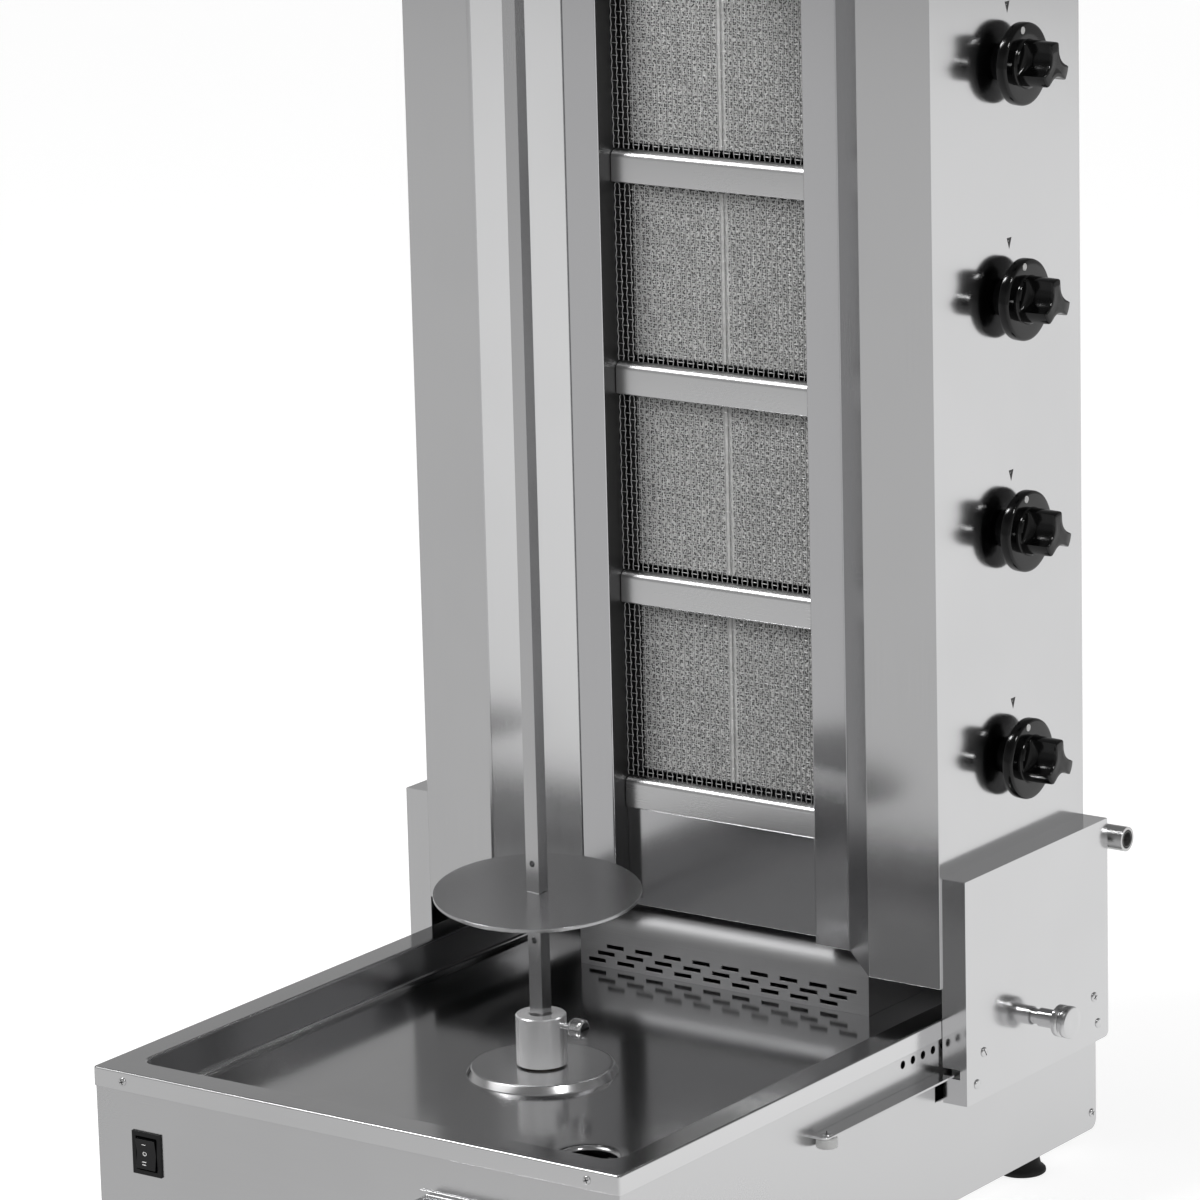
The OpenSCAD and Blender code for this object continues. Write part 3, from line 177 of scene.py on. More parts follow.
M = {
    "panel_z": steel("panel_z", (0.64, 0.64, 0.645), 0.15, "Z"),
    "panel_y": steel("panel_y", (0.64, 0.64, 0.645), 0.22, "Y"),
    "cabinet": steel("cabinet", (0.64, 0.64, 0.645), 0.24, "X"),
    "plate": steel("plate", (0.66, 0.66, 0.665), 0.17, "Z"),
    "pan": steel("pan", (0.51, 0.51, 0.515), 0.13, "Y", spread=0.04, blotch=0.05),
    "mirror": steel("mirror", (0.6, 0.6, 0.61), 0.13, "Z", spread=0.04),
    "bar": steel("bar", (0.72, 0.72, 0.725), 0.27, "X", blotch=0.04),
    "turned": steel("turned", (0.66, 0.66, 0.665), 0.2, "N", spread=0.05),
    "spit": steel("spit", (0.6, 0.6, 0.605), 0.24, "Z", spread=0.05),
    "disc": steel("disc", (0.45, 0.45, 0.455), 0.24, "N", spread=0.05),
    # a paler copy of the pan's steel, painted light on the pan's skirt
    "skirt": steel("skirt", (0.7, 0.7, 0.705), 0.17, "Y"),
    # a darker copy of the steel, painted shade on the cowl in the shadow under the tower
    "cowl": steel("cowl", (0.38, 0.38, 0.385), 0.55, "X", spread=0.06, blotch=0.06),
    "hub": steel("hub", (0.92, 0.92, 0.925), 0.26, "Z", spread=0.05, metal=0.72),
    # a near-black copy of the steel, painted shade on the side walls of the burner window
    "painted_shade_jamb": steel("painted_shade_jamb", (0.1, 0.1, 0.1), 0.4, "Z"),
    # a darker copy of the panel steel, painted shade on the right column's wing
    "painted_shade_wing": steel("painted_shade_wing", (0.29, 0.29, 0.295), 0.24, "Z", blotch=0.05),
    "rail": steel("rail", (0.62, 0.62, 0.625), 0.17, "Y"),
    "wire": steel("wire", (0.62, 0.62, 0.62), 0.38, "N"),
    "zinc": plastic("zinc", (0.55, 0.55, 0.56), 0.38, metal=1.0),
    "cast": plastic("cast", (0.42, 0.42, 0.43), 0.55, grain_scale=500, grain=0.5, metal=0.8),
    "iron": plastic("iron", (0.045, 0.045, 0.045), 0.62, grain_scale=420, grain=0.6, metal=0.3),
    "motor": plastic("motor", (0.05, 0.05, 0.055), 0.45, grain=0.2),
    "brass": plastic("brass", (0.66, 0.52, 0.26), 0.3, metal=1.0),
    "bronze": plastic("bronze", (0.5, 0.36, 0.2), 0.35, metal=1.0),
    "nylon": plastic("nylon", (0.86, 0.86, 0.85), 0.42, grain=0.08),
    "black": plastic("black", (0.006, 0.006, 0.0065), 0.34, grain=0.1, spec=0.3),
    "gloss": plastic("gloss", (0.004, 0.004, 0.0045), 0.14, grain=0.02, spec=0.4),
    "knob": plastic("knob", (0.0015, 0.0015, 0.0017), 0.1, grain=0.01, spec=0.4),
    "rubber": plastic("rubber", (0.012, 0.012, 0.012), 0.55, grain=0.25, spec=0.3),
    "white": plastic("white", (0.85, 0.85, 0.84), 0.4, grain=0.03),
    "grey_mark": plastic("grey_mark", (0.03, 0.03, 0.03), 0.4, grain=0.03),
}


def dots(n, l, vec, randomness, lo, a, b):
    """A field of round dots: lo in each dot's middle, 1 outside it."""
    v = n.new("ShaderNodeTexVoronoi")
    v.inputs["Scale"].default_value = 1.0
    v.inputs["Randomness"].default_value = randomness
    l.new(vec, v.inputs["Vector"])
    return remap(n, l, v.outputs["Distance"], lo, 1.0, a, b)


def ceramic_mat():
    """Pressed ceramic burner plates: fine holes with a staggered field of wider ones, both drawn as dark
    dots of painted shade, and a plain seam.
    """
    mat, n, l, b = new_mat("ceramic")
    holes = dots(n, l, coords(n, l, (500, 1, 500)), 0.55, 0.0, 0.3, 0.42)
    staggered = coords(n, l, (225, 1, 225), (0, math.radians(45), 0))
    body = scalar(n, l, "MULTIPLY", holes, dots(n, l, staggered, 0.3, 0.25, 0.16, 0.3))
    sep = n.new("ShaderNodeSeparateXYZ")
    l.new(n.new("ShaderNodeTexCoord").outputs["Object"], sep.inputs[0])
    side = scalar(n, l, "ABSOLUTE", sep.outputs["X"], 0.0)
    body = scalar(n, l, "MAXIMUM", body, scalar(n, l, "LESS_THAN", side, SEAM_HALF_W))
    s = noise(n, l, coords(n, l, (90, 90, 90)))
    mix = n.new("ShaderNodeMix")
    mix.data_type = "RGBA"
    l.new(body, mix.inputs["Factor"])
    # the colour inside the holes: painted shade
    mix.inputs[6].default_value = (0.08, 0.08, 0.08, 1)
    l.new(tint(n, l, s, (0.56, 0.56, 0.55), (0.74, 0.74, 0.73)), mix.inputs[7])
    l.new(mix.outputs[2], b.inputs["Base Color"])
    b.inputs["Roughness"].default_value = 0.85
    bump(n, l, body, 0.6, CERAMIC_BUMP, b)
    return mat


M["ceramic"] = ceramic_mat()


# Mesh helpers
def finish_mesh(bm, name, mat, body, replaces=(), sharp=32):
    """Turns bm into a piece that rides on a body. Edges steeper than sharp degrees stay sharp."""
    bm.normal_update()
    for f in bm.faces:
        f.smooth = True
    for e in bm.edges:
        if len(e.link_faces) == 2 and e.calc_face_angle(0.0) > math.radians(sharp):
            e.smooth = False
    me = bpy.data.meshes.new(name)
    bm.to_mesh(me)
    bm.free()
    me.materials.append(mat)
    ob = bpy.data.objects.new(name, me)
    bpy.context.scene.collection.objects.link(ob)
    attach(ob, body)
    if replaces:
        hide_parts(*replaces)
    return ob


def box_faces(bm, vs):
    """Six faces on eight corners, which change fastest in the last direction."""
    for q in ((0, 1, 3, 2), (4, 6, 7, 5), (0, 4, 5, 1), (2, 3, 7, 6), (0, 2, 6, 4), (1, 5, 7, 3)):
        bm.faces.new([vs[i] for i in q])


def near(a, b):
    return abs(a - b) < 0.6


def circle(count):
    """Cosines and sines round a full circle."""
    return [(math.cos(2 * math.pi * i / count), math.sin(2 * math.pi * i / count)) for i in range(count)]


# the least angle of an edge that gets rolled, in degrees
SHEET_ANGLE = 28


def dressed(name, mat, body, rules=(), default=0.35, segments=3):
    """A copy of a CAD solid with rolled edges: each rule gives an edge test in millimetres and a radius."""
    bm = bmesh.new()
    bm.from_mesh(nodes[name].data)
    bmesh.ops.remove_doubles(bm, verts=bm.verts, dist=3e-6)
    bmesh.ops.dissolve_limit(bm, angle_limit=math.radians(0.5), verts=bm.verts, edges=bm.edges)
    lay = bm.edges.layers.float.get("bevel_weight_edge") or bm.edges.layers.float.new("bevel_weight_edge")
    widest = max([default] + [w for _, w in rules])
    for e in bm.edges:
        if len(e.link_faces) != 2 or e.calc_face_angle(0.0) < math.radians(SHEET_ANGLE):
            continue
        m = (e.verts[0].co + e.verts[1].co) / 2 / MM
        d = (e.verts[1].co - e.verts[0].co).normalized()
        w = default
        for test, width in rules:
            if test(m, d):
                w = width
                break
        e[lay] = w / widest
    ob = finish_mesh(bm, name + "_sheet", mat, body, (name,), sharp=SHEET_ANGLE)
    md = ob.modifiers.new("edges", "BEVEL")
    md.width = widest * MM
    md.segments = segments
    md.limit_method = "WEIGHT"
    md.harden_normals = True
    md.use_clamp_overlap = True
    return ob


def lathe_bm(bm, prof, origin, axis, seg):
    """Spins a profile of (distance along the axis, radius) in millimetres."""
    ax = Vector(axis).normalized()
    a = ax.orthogonal().normalized()
    b = ax.cross(a)
    o = Vector(origin)
    spokes = [a * c + b * s for c, s in circle(seg)]
    rings = []
    for t, r in prof:
        rings.append([bm.verts.new((o + ax * t + d * r) * MM) for d in (spokes if r > 0 else spokes[:1])])
    for p, q in zip(rings, rings[1:]):
        for i in range(seg):
            j = (i + 1) % seg
            if len(p) == 1 and len(q) == 1:
                break
            if len(p) == 1:
                bm.faces.new((p[0], q[j], q[i]))
            elif len(q) == 1:
                bm.faces.new((p[i], p[j], q[0]))
            else:
                bm.faces.new((p[i], p[j], q[j], q[i]))


def lathed(name, prof, origin, axis, mat, body, replaces, seg, sharp=32):
    """A turned piece from one profile."""
    bm = bmesh.new()
    lathe_bm(bm, prof, origin, axis, seg)
    bmesh.ops.remove_doubles(bm, verts=bm.verts, dist=1e-7)
    bmesh.ops.recalc_face_normals(bm, faces=bm.faces)
    return finish_mesh(bm, name, mat, body, replaces, sharp=sharp)


def rr_loop(x, y, r, seg):
    """Points of a rectangle with round corners, the same count for any size."""
    corners = ((x[1] - r, y[1] - r, 0), (x[0] + r, y[1] - r, 90),
               (x[0] + r, y[0] + r, 180), (x[1] - r, y[0] + r, 270))
    pts = []
    for cx, cy, a0 in corners:
        for i in range(seg + 1):
            a = math.radians(a0 + 90 * i / seg)
            pts.append((cx + r * math.cos(a), cy + r * math.sin(a)))
    return pts


def join(bm, p, q):
    """A band of faces between two closed rings of as many points."""
    for i in range(len(p)):
        j = (i + 1) % len(p)
        bm.faces.new((p[i], p[j], q[j], q[i]))


def bridge(bm, loops):
    """Joins loops of points in millimetres, one after the other."""
    rings = [[bm.verts.new(Vector(pt) * MM) for pt in lp] for lp in loops]
    for p, q in zip(rings, rings[1:]):
        join(bm, p, q)


# Sheet metal from the CAD solids: places of the edges that are rolled wider
TOWER_X, TOWER_FRONT, TOWER_BOTTOM = 250.0, 99.0, 202.0
WING_X = 183.4
HOUSE_X, HOUSE_FRONT = 130.6, 152.0
CABINET_X, CABINET_FRONT, CABINET_BOTTOM = 248.1, -334.5, 21.0
PLATE_X = 272.2
PLATE_FRONT, PLATE_REAR, PLATE_BOTTOM, PLATE_TOP = 101, 316, 109, 292


def upright(d):
    return abs(d.z) > 0.9


def column_front(m, d):
    return upright(d) and near(m.y, TOWER_FRONT) and (near(abs(m.x), TOWER_X) or near(abs(m.x), WING_X))


def column_inner(m, d):
    return upright(d) and near(m.y, HOUSE_FRONT) and near(abs(m.x), HOUSE_X)


def column_foot(m, d):
    outer = near(m.y, TOWER_FRONT) or near(abs(m.x), TOWER_X)
    return abs(d.z) < 0.2 and near(m.z, TOWER_BOTTOM) and outer


def housing_front(m, d):
    return upright(d) and near(m.y, HOUSE_FRONT)


def plate_fold(m, d):
    side = near(m.z, PLATE_BOTTOM) or near(m.z, PLATE_TOP) or near(m.y, PLATE_FRONT) or near(m.y, PLATE_REAR)
    return near(abs(m.x), PLATE_X) and (upright(d) or abs(d.y) > 0.9) and side


def plate_corner(m, d):
    return near(abs(m.x), PLATE_X) and m.y > 300 and m.z < 125


def cabinet_front(m, d):
    return upright(d) and near(abs(m.x), CABINET_X) and near(m.y, CABINET_FRONT)


def cabinet_foot(m, d):
    return near(m.z, CABINET_BOTTOM) and (near(abs(m.x), CABINET_X) or near(m.y, CABINET_FRONT))


def second_material(ob, mat, test):
    """A darker or paler tone on the faces that pass the test: painted shade where it is darker, painted
    light where it is paler.
    """
    ob.data.materials.append(mat)
    for face in ob.data.polygons:
        if test(face):
            face.material_index = 1


for name in ("column_left", "column_right"):
    column = dressed(name, M["panel_z"], "tower",
                     ((column_front, 2.2), (column_inner, 0.8), (column_foot, 1.2)))
# painted shade: the right column's wing beside the burners gets a darker copy of its steel for the shade it
# stands in
second_material(column, M["painted_shade_wing"], lambda face: face.normal.y < -0.3 and face.normal.x < -0.3)
housing = dressed("burner_housing", M["mirror"], "tower", ((housing_front, 2.0),))
# painted shade: the burner window's side walls get near-black steel for the shade in that narrow gap
second_material(housing, M["painted_shade_jamb"], lambda face: abs(face.normal.x) > 0.9 and abs(face.center.x) < 98.5 * MM)
dressed("back_panel", M["panel_z"], "tower")
dressed("top_cap", M["panel_y"], "tower")
dressed("lower_shield", M["mirror"], "tower")
dressed("cross_bars", M["bar"], "tower", default=1.2)
dressed("rear_cowl", M["cowl"], "base", default=0.25)
dressed("side_plates", M["plate"], "tower",
        ((plate_fold, 2.6), (plate_corner, 2.6)), segments=4)
dressed("slide_rails", M["rail"], "base", default=0.3)
dressed("rail_stops", M["nylon"], "base", default=1.2)
dressed("drawer_front", M["cabinet"], "drawer", default=0.5)
dressed("drawer_box", M["panel_y"], "drawer", default=0.3)
dressed("base_cabinet", M["cabinet"], "base", ((cabinet_front, 2.4), (cabinet_foot, 1.6)))
dressed("rear_wall", M["cabinet"], "base", default=0.3)
dressed("top_arm", M["panel_y"], "tower", default=1.0)
dressed("switch_housing", M["black"], "base", default=0.5)
dressed("switch_rocker", M["gloss"], "rocker", default=0.6)
dressed("slide_shoes", M["nylon"], "tower", default=0.6)
dressed("gearbox", M["cast"], "base", default=3.0)
dressed("gas_valves", M["brass"], "tower", default=1.2)
dressed("burner_bodies", M["iron"], "tower", default=0.8)
dressed("ceramic_plates", M["ceramic"], "tower", default=0.6)


# Drip pan
SPIT_Y = -89.0


def quarter(steps):
    """Cosines and sines over a quarter turn."""
    return [(math.cos(math.radians(90 * i / steps)), math.sin(math.radians(90 * i / steps)))
            for i in range(steps + 1)]


def build_pan():
    """The pan as one pressing: skirt, rolled rim, walls, floor fillet, shaft hole and dished drain."""
    bm = bmesh.new()
    half_w, front, rear = 249.6, -336.0, 337.5
    basin_x, basin_front, basin_rear, basin_r = 224.5, -308.0, 300.0, 13.0
    top, skirt, floor = 177.0, 161.5, 145.5
    rim_r, lip_r, fillet_r = 1.6, 2.2, 5.0

    def outer(inset, r, z):
        pts = rr_loop((inset - half_w, half_w - inset), (front + inset, rear - inset), r, 8)
        return [(px, py, z) for px, py in pts]

    def inner(grow, r, z):
        pts = rr_loop((-basin_x - grow, basin_x + grow), (basin_front - grow, basin_rear + grow), r, 8)
        return [(px, py, z) for px, py in pts]

    loops = [outer(1.5, 1.6, skirt), outer(0.3, 2.4, skirt), outer(0.0, 2.6, skirt + 0.3)]
    for c, s in quarter(6):
        k = rim_r * (1 - c)
        loops.append(outer(k, 2.6 + (rim_r - k) * 0.2, top - rim_r + rim_r * s))
    for c, s in quarter(6):
        k = lip_r * (1 - s)
        loops.append(inner(k, basin_r + k, top - lip_r * (1 - c)))
    for c, s in quarter(7):
        k = fillet_r * (1 - c)
        loops.append(inner(-k, basin_r - k, floor + fillet_r - fillet_r * s))
    loops.append(inner(-6.5, 4.0, floor))
    loops.append(inner(-9.0, 4.0, floor))
    bridge(bm, loops)
    # dished drain: radii and depths under the floor
    drain_x, drain_y, drain_r, dish_r, shaft_r = 148.0, -235.0, 22.0, 36.0, 20.0
    dish = [[(drain_x + rad * c, drain_y + rad * s, floor - depth) for c, s in circle(64)]
            for rad, depth in ((dish_r, 0), (33.0, 0), (30.5, 0), (27.0, 0.12), (25.0, 0.5), (23.4, 1.3),
                               (22.4, 2.4), (drain_r, 3.6), (drain_r, 8.0))]
    # flat floor, with the holes for the drain and the shaft
    rims = [[p[:2] for p in loops[-1]], [p[:2] for p in dish[0]],
            [(shaft_r * c, SPIT_Y + shaft_r * s) for c, s in circle(48)]]
    pts = []
    edges = []
    for rim in rims:
        first = len(pts)
        pts += [Vector(p) for p in rim]
        edges += [(first + i, first + (i + 1) % len(rim)) for i in range(len(rim))]
    for gx in range(-200, 201, 40):
        for gy in range(-280, 281, 40):
            off_drain = math.hypot(gx - drain_x, gy - drain_y) > dish_r + 8
            if off_drain and math.hypot(gx, gy - SPIT_Y) > shaft_r + 12:
                pts.append(Vector((gx, gy)))
    flat, _, faces = geometry.delaunay_2d_cdt(pts, edges, [], 0, 0.0001)[:3]
    vs = [bm.verts.new((v.x * MM, v.y * MM, floor * MM)) for v in flat]
    for tri in faces:
        c = sum((flat[i] for i in tri), Vector((0, 0))) / 3
        in_drain = math.hypot(c.x - drain_x, c.y - drain_y) < dish_r - 0.1
        if not in_drain and math.hypot(c.x, c.y - SPIT_Y) >= shaft_r - 0.1:
            bm.faces.new([vs[i] for i in tri])
    bridge(bm, dish)
    bmesh.ops.remove_doubles(bm, verts=bm.verts, dist=2e-6)
    bmesh.ops.recalc_face_normals(bm, faces=bm.faces)
    level = [f for f in bm.faces if abs(f.calc_center_median().z - floor * MM) < 1e-5]
    if sum(1 if f.normal.z > 0 else -1 for f in level) < 0:
        bmesh.ops.reverse_faces(bm, faces=bm.faces)
    ob = finish_mesh(bm, "pan_pressing", M["pan"], "base", ("drip_pan",), sharp=50)

    def on_skirt(face):
        c = face.center / MM
        return c.z < top - 0.9 and (abs(c.x) > half_w - 1.0 or c.y < front + 1.0 or c.y > rear - 1.0)

    # painted light and shade on one sheet: the skirt faces get a paler copy of the pressing's steel than its
    # rim and basin
    second_material(ob, M["skirt"], on_skirt)
    md = ob.modifiers.new("sheet", "SOLIDIFY")
    md.thickness = 1.4 * MM
    md.offset = -1.0
    ob.modifiers.new("shade", "WEIGHTED_NORMAL")


build_pan()


# Woven mesh guards
GUARD_BOTTOM, GUARD_PITCH, GUARD_H = 310.0, 173.0, 143.5
GUARD_HALF_W, GUARD_Y = 97.0, 172.6
WIRES, WIRE_R, RUNG_R, RUNG_PITCH = 40, 0.4, 0.36, 10.1
# how far a wire goes sideways and to and fro, and the height of a hairpin
SWAY, WAVE, HAIRPIN_H = 0.42, 0.12, 2.8


def tube(bm, path, rad):
    """A five-sided wire along a path close to the XZ plane."""
    spokes = circle(5)
    rings = []
    for k, p in enumerate(path):
        t = (Vector(path[min(len(path) - 1, k + 1)]) - Vector(path[max(0, k - 1)])).normalized()
        u = Vector((0, 1, 0)) - t * t.y
        u.normalize()
        w = t.cross(u)
        rings.append([bm.verts.new((Vector(p) + (u * c + w * s) * rad) * MM) for c, s in spokes])
    for p, q in zip(rings, rings[1:]):
        join(bm, p, q)


def weave_guard(index):
    """Upright wires, drawn to and fro by short rungs set like bricks, with hairpin ends at the top."""
    bottom = GUARD_BOTTOM + GUARD_PITCH * index
    low, high = bottom + 1.2, bottom + GUARD_H
    first_rung = bottom + 5.0
    step = 2 * GUARD_HALF_W / WIRES
    bm = bmesh.new()

    def wire_x(i, z):
        sway = SWAY * math.cos(2 * math.pi * (z - first_rung) / RUNG_PITCH)
        return step * i - GUARD_HALF_W + (sway if i % 2 else -sway)

    for i in range(WIRES + 1):
        path = []
        for k in range(60):
            z = low + (high - low) * k / 59
            wave = WAVE * math.cos(4 * math.pi * (z - bottom) / RUNG_PITCH)
            path.append((wire_x(i, z), GUARD_Y + wave, z))
        if i % 2 == 0 and i < WIRES:
            # the hairpin joins this wire to the next
            xa, xb = path[-1][0], wire_x(i + 1, high)
            for k in range(1, 8):
                a = math.pi * k / 7
                x = (xa + xb) / 2 - (xb - xa) / 2 * math.cos(a)
                path.append((x, GUARD_Y, high + HAIRPIN_H * math.sin(a)))
        tube(bm, path, WIRE_R)
    for i in range(WIRES):
        z = first_rung + (RUNG_PITCH / 2 if i % 2 else 0.0)
        while z < high:
            xa, xb = wire_x(i, z), wire_x(i + 1, z)
            rung = ((xa - 0.5, 0.2), (xa, -0.55), ((xa + xb) / 2, -0.35), (xb, -0.55), (xb + 0.5, 0.2))
            tube(bm, [(x, GUARD_Y + y, z) for x, y in rung], RUNG_R)
            z += RUNG_PITCH
    finish_mesh(bm, "wire_cloth_%d" % (index + 1), M["wire"], "tower",
                ("mesh_guards",) if index == 0 else (), sharp=80)


for i in range(4):
    weave_guard(i)


# Knobs
KNOB_Y, KNOB_Z, KNOB_PITCH = 210.0, 365.5, 184.0
GRIP_R, GRIP_END = 19.0, 293.7
BITE_R, BITE_OUT, BITE_TURN = 19.2, 28.7, 36.0
DOT_Y, DOT_Z = -6.6, 27.0
TRIANGLE_X, TRIANGLE_Z = 249.75, 43.0
DIAL = [(259.0, 4.3), (259.0, 31.0), (259.6, 32.0), (260.4, 32.2), (265.9, 32.2), (267.1, 31.8),
        (267.8, 30.9), (268.0, 29.8), (268.0, 22.0), (268.0, 18.0)]
POINTER = [(267.6, 0.0), (267.6, 2.9), (268.25, 2.9), (268.35, 2.6), (268.4, 0.0)]
# along the grip: place, growth of the radius, share of the bite's full depth
GRIP = ((267.8, 0.9, 0.0), (268.4, 0.3, 0.0), (269.2, 0.0, 0.0), (270.2, 0.0, 0.06), (270.5, 0.0, 0.35),
        (271.1, 0.0, 0.58), (272.1, -0.02, 0.78), (273.6, -0.04, 0.92), (275.4, -0.06, 0.985),
        (277.6, -0.1, 1.0), (285.0, -0.2, 1.0), (291.6, -0.35, 1.0), (292.9, -0.6, 1.0),
        (GRIP_END, -1.2, 1.0), (294.0, -2.0, 1.0))


def trilobe(steps):
    """The grip's outline, a circle with three round bites: direction and radius of each point."""
    pts = []
    for c, s in circle(steps):
        a = math.atan2(s, c)
        rad = GRIP_R
        for k in range(3):
            off = a - math.radians(BITE_TURN + 120 * k)
            deep = BITE_R ** 2 - (BITE_OUT * math.sin(off)) ** 2
            if deep > 0 and math.cos(off) > 0:
                rad = min(rad, BITE_OUT * math.cos(off) - math.sqrt(deep))
        pts.append((c, s, rad))
    return pts


def build_knob(number):
    zc = KNOB_Z + KNOB_PITCH * (number - 1)
    outline = trilobe(96)
    bm = bmesh.new()
    lathe_bm(bm, DIAL, (0, KNOB_Y, zc), (1, 0, 0), 72)

    def ring(x, radius):
        return [bm.verts.new(Vector((x, KNOB_Y + c * radius(rad), zc + s * radius(rad))) * MM)
                for c, s, rad in outline]

    rings = [ring(x, lambda rad: GRIP_R + (rad - GRIP_R) * bite + grow) for x, grow, bite in GRIP]
    rings.append(ring(GRIP_END, lambda rad: rad / 2))
    for p, q in zip(rings, rings[1:]):
        join(bm, p, q)
    centre = bm.verts.new((293.6 * MM, KNOB_Y * MM, zc * MM))
    for i in range(len(outline)):
        bm.faces.new((rings[-1][i], rings[-1][(i + 1) % len(outline)], centre))
    bmesh.ops.recalc_face_normals(bm, faces=bm.faces)
    body = "knob_turner_%d" % number
    finish_mesh(bm, "grip_%d" % number, M["knob"], body, ("knob_%d" % number,), sharp=55)
    lathed("pointer_dot_%d" % number, POINTER, (0, KNOB_Y + DOT_Y, zc + DOT_Z), (1, 0, 0), M["white"],
           body, (), 24, 40)
    # the small triangle on the panel above the knob
    w, h = 3.3, 4.5
    outer = [(-w, h), (w, h), (0, -h)]
    inner = [(y * 0.25, (z - h / 3) * 0.25 + h / 3) for y, z in outer]
    bm = bmesh.new()
    bridge(bm, [[(TRIANGLE_X, KNOB_Y + y, zc + TRIANGLE_Z + z) for y, z in pts] for pts in (outer, inner)])
    bmesh.ops.recalc_face_normals(bm, faces=bm.faces)
    finish_mesh(bm, "mark_line_%d" % number, M["grey_mark"], "tower")


for i in range(4):
    build_knob(i + 1)


# Spit, hub, flange, disc, thumb screw
dressed("spit_socket", M["hub"], "spit", default=0.5)
dressed("spit_bar", M["spit"], "spit", default=0.5)
dressed("meat_disc", M["disc"], "spit", default=0.5)
dressed("disc_collar", M["turned"], "spit", default=0.6)
lathed("flange_turning", [(0, 14.2), (0, 59.7), (0.5, 59.7), (5.4, 56.6), (5.9, 56.2), (6.2, 55.4),
                          (6.25, 54.4), (6.25, 14.6), (5.9, 14.2), (0, 14.2)],
       (0, SPIT_Y, 145.5), (0, 0, 1), M["turned"], "base", ("shaft_flange",), 96)

SCREW_Z = 186.6
lathed("clamp_screw",
       [(6.1, 0), (6.1, 2.2), (6.5, 2.5), (28.6, 2.5), (29.2, 3.2), (29.4, 5.6), (30.4, 6.9), (31.6, 7.7)]
       + [(31.9 + 0.9 * k, 8.0 if k % 2 else 7.65) for k in range(9)]
       + [(40.4, 7.8), (41.3, 7.2), (41.9, 6.2), (42.0, 5.4), (42.0, 0)],
       (0, SPIT_Y, SCREW_Z), (1, 0, 0), M["turned"], "spit_screw", ("thumb_screw",), 48, 28)
# the slot in the screw's end is a black box: painted shade inside the cut
bm = bmesh.new()
box_faces(bm, [bm.verts.new((x * MM, (SPIT_Y + y) * MM, (SCREW_Z + z) * MM))
               for x in (41.2, 42.02) for y in (-5.6, 5.6) for z in (-1.0, 1.0)])
finish_mesh(bm, "clamp_screw_slot", M["black"], "spit_screw")


# Plunger and its knob
PLUNGER = (0, 206.0, 155.0)
lathed("plunger_neck", [(265.7, 3.2), (265.7, 9.4), (266.3, 10.0), (270.1, 10.0), (270.7, 9.4), (270.7, 6.0),
                        (285.3, 6.0), (286.2, 5.2), (286.2, 3.2), (265.7, 3.2)],
       PLUNGER, (1, 0, 0), M["turned"], "tower", ("plunger_body",), 48)
lathed("pull_turning", [(275.5, 6.35), (275.5, 7.1), (275.9, 7.6), (290.6, 7.6), (290.9, 7.2),
                        (291.3, 7.2), (291.5, 8.2), (291.5, 11.4), (291.8, 12.3), (292.6, 12.9),
                        (296.9, 13.0), (297.6, 12.6), (297.9, 11.9), (298.4, 11.5), (298.9, 11.9),
                        (299.2, 12.6), (299.8, 13.0), (304.0, 13.0), (305.0, 12.5), (305.4, 11.6),
                        (305.45, 6.0), (305.3, 1.6), (305.1, 0.0)],
       PLUNGER, (1, 0, 0), M["turned"], "latch", ("pull_knob",), 64)


# Screws and rivets
HEAD = ((0.0, 1.0), (0.5, 0.99), (0.95, 0.9), (1.25, 0.7), (1.38, 0.4), (1.4, 0))
# kind of head: turn of its first cut, number of cuts, half the length of a cut against the head's radius
CUTS = {"slot": (0.6, 1, 0.86), "cross": (0.35, 2, 0.62), "plain": (0.0, 0, 0.0)}


def screw_head(name, centre, out, r, body, kind, replaces=()):
    """A domed head with a slot, a cross or nothing, standing on a face."""
    head = [(h, r * k) for h, k in HEAD]
    lathed(name, head, centre, out, M["turned"], body, replaces, 36, 60)
    ax = Vector(out)
    u = Vector((0, 0, 1)) if abs(ax.z) < 0.5 else Vector((0, 1, 0))
    w = ax.cross(u)
    turn, cuts, share = CUTS[kind]
    # the slots and crosses are black boxes sunk in the head: painted shade inside the cuts
    for k in range(cuts):
        a = turn + k * math.pi / 2
        d = u * math.cos(a) + w * math.sin(a)
        e = ax.cross(d)
        bm = bmesh.new()
        box_faces(bm, [bm.verts.new((Vector(centre) + ax * h + d * s * r * share + e * q * 0.42) * MM)
                       for h in (0.9, 1.42) for s in (-1, 1) for q in (-1, 1)])
        bmesh.ops.recalc_face_normals(bm, faces=bm.faces)
        finish_mesh(bm, name + "_cut%d" % k, M["black"], body)


plate_heads = [(sx, y, z, kind) for sx in (1, -1)
               for y, z, kind in ((126.5, 147.3, "slot"), (294.0, 147.3, "cross"), (116.0, 123.7, "plain"),
                                  (300.0, 123.7, "plain"))]
for i, (sx, y, z, kind) in enumerate(plate_heads):
    screw_head("plate_screw_%d" % (i + 1), (sx * PLATE_X, y, z), (sx, 0, 0), 4.0, "tower", kind,
               ("plate_rivets",) if i == 0 else ())
for i, sx in ((1, 1), (2, -1)):
    screw_head("rail_screw_%d" % i, (sx * 257.0, -75.0, 135.0), (0, 0, 1), 4.6, "base", "slot")
for i, sx in ((1, 1), (2, -1)):
    screw_head("front_screw_%d" % i, (sx * 220.0, -336.0, 169.0), (0, -1, 0), 3.4, "base", "cross",
               ("cover_screws",) if i == 1 else ())
    screw_head("side_screw_%d" % i, (sx * CABINET_X, 329.0, 35.0), (sx, 0, 0), 3.4, "base", "cross")


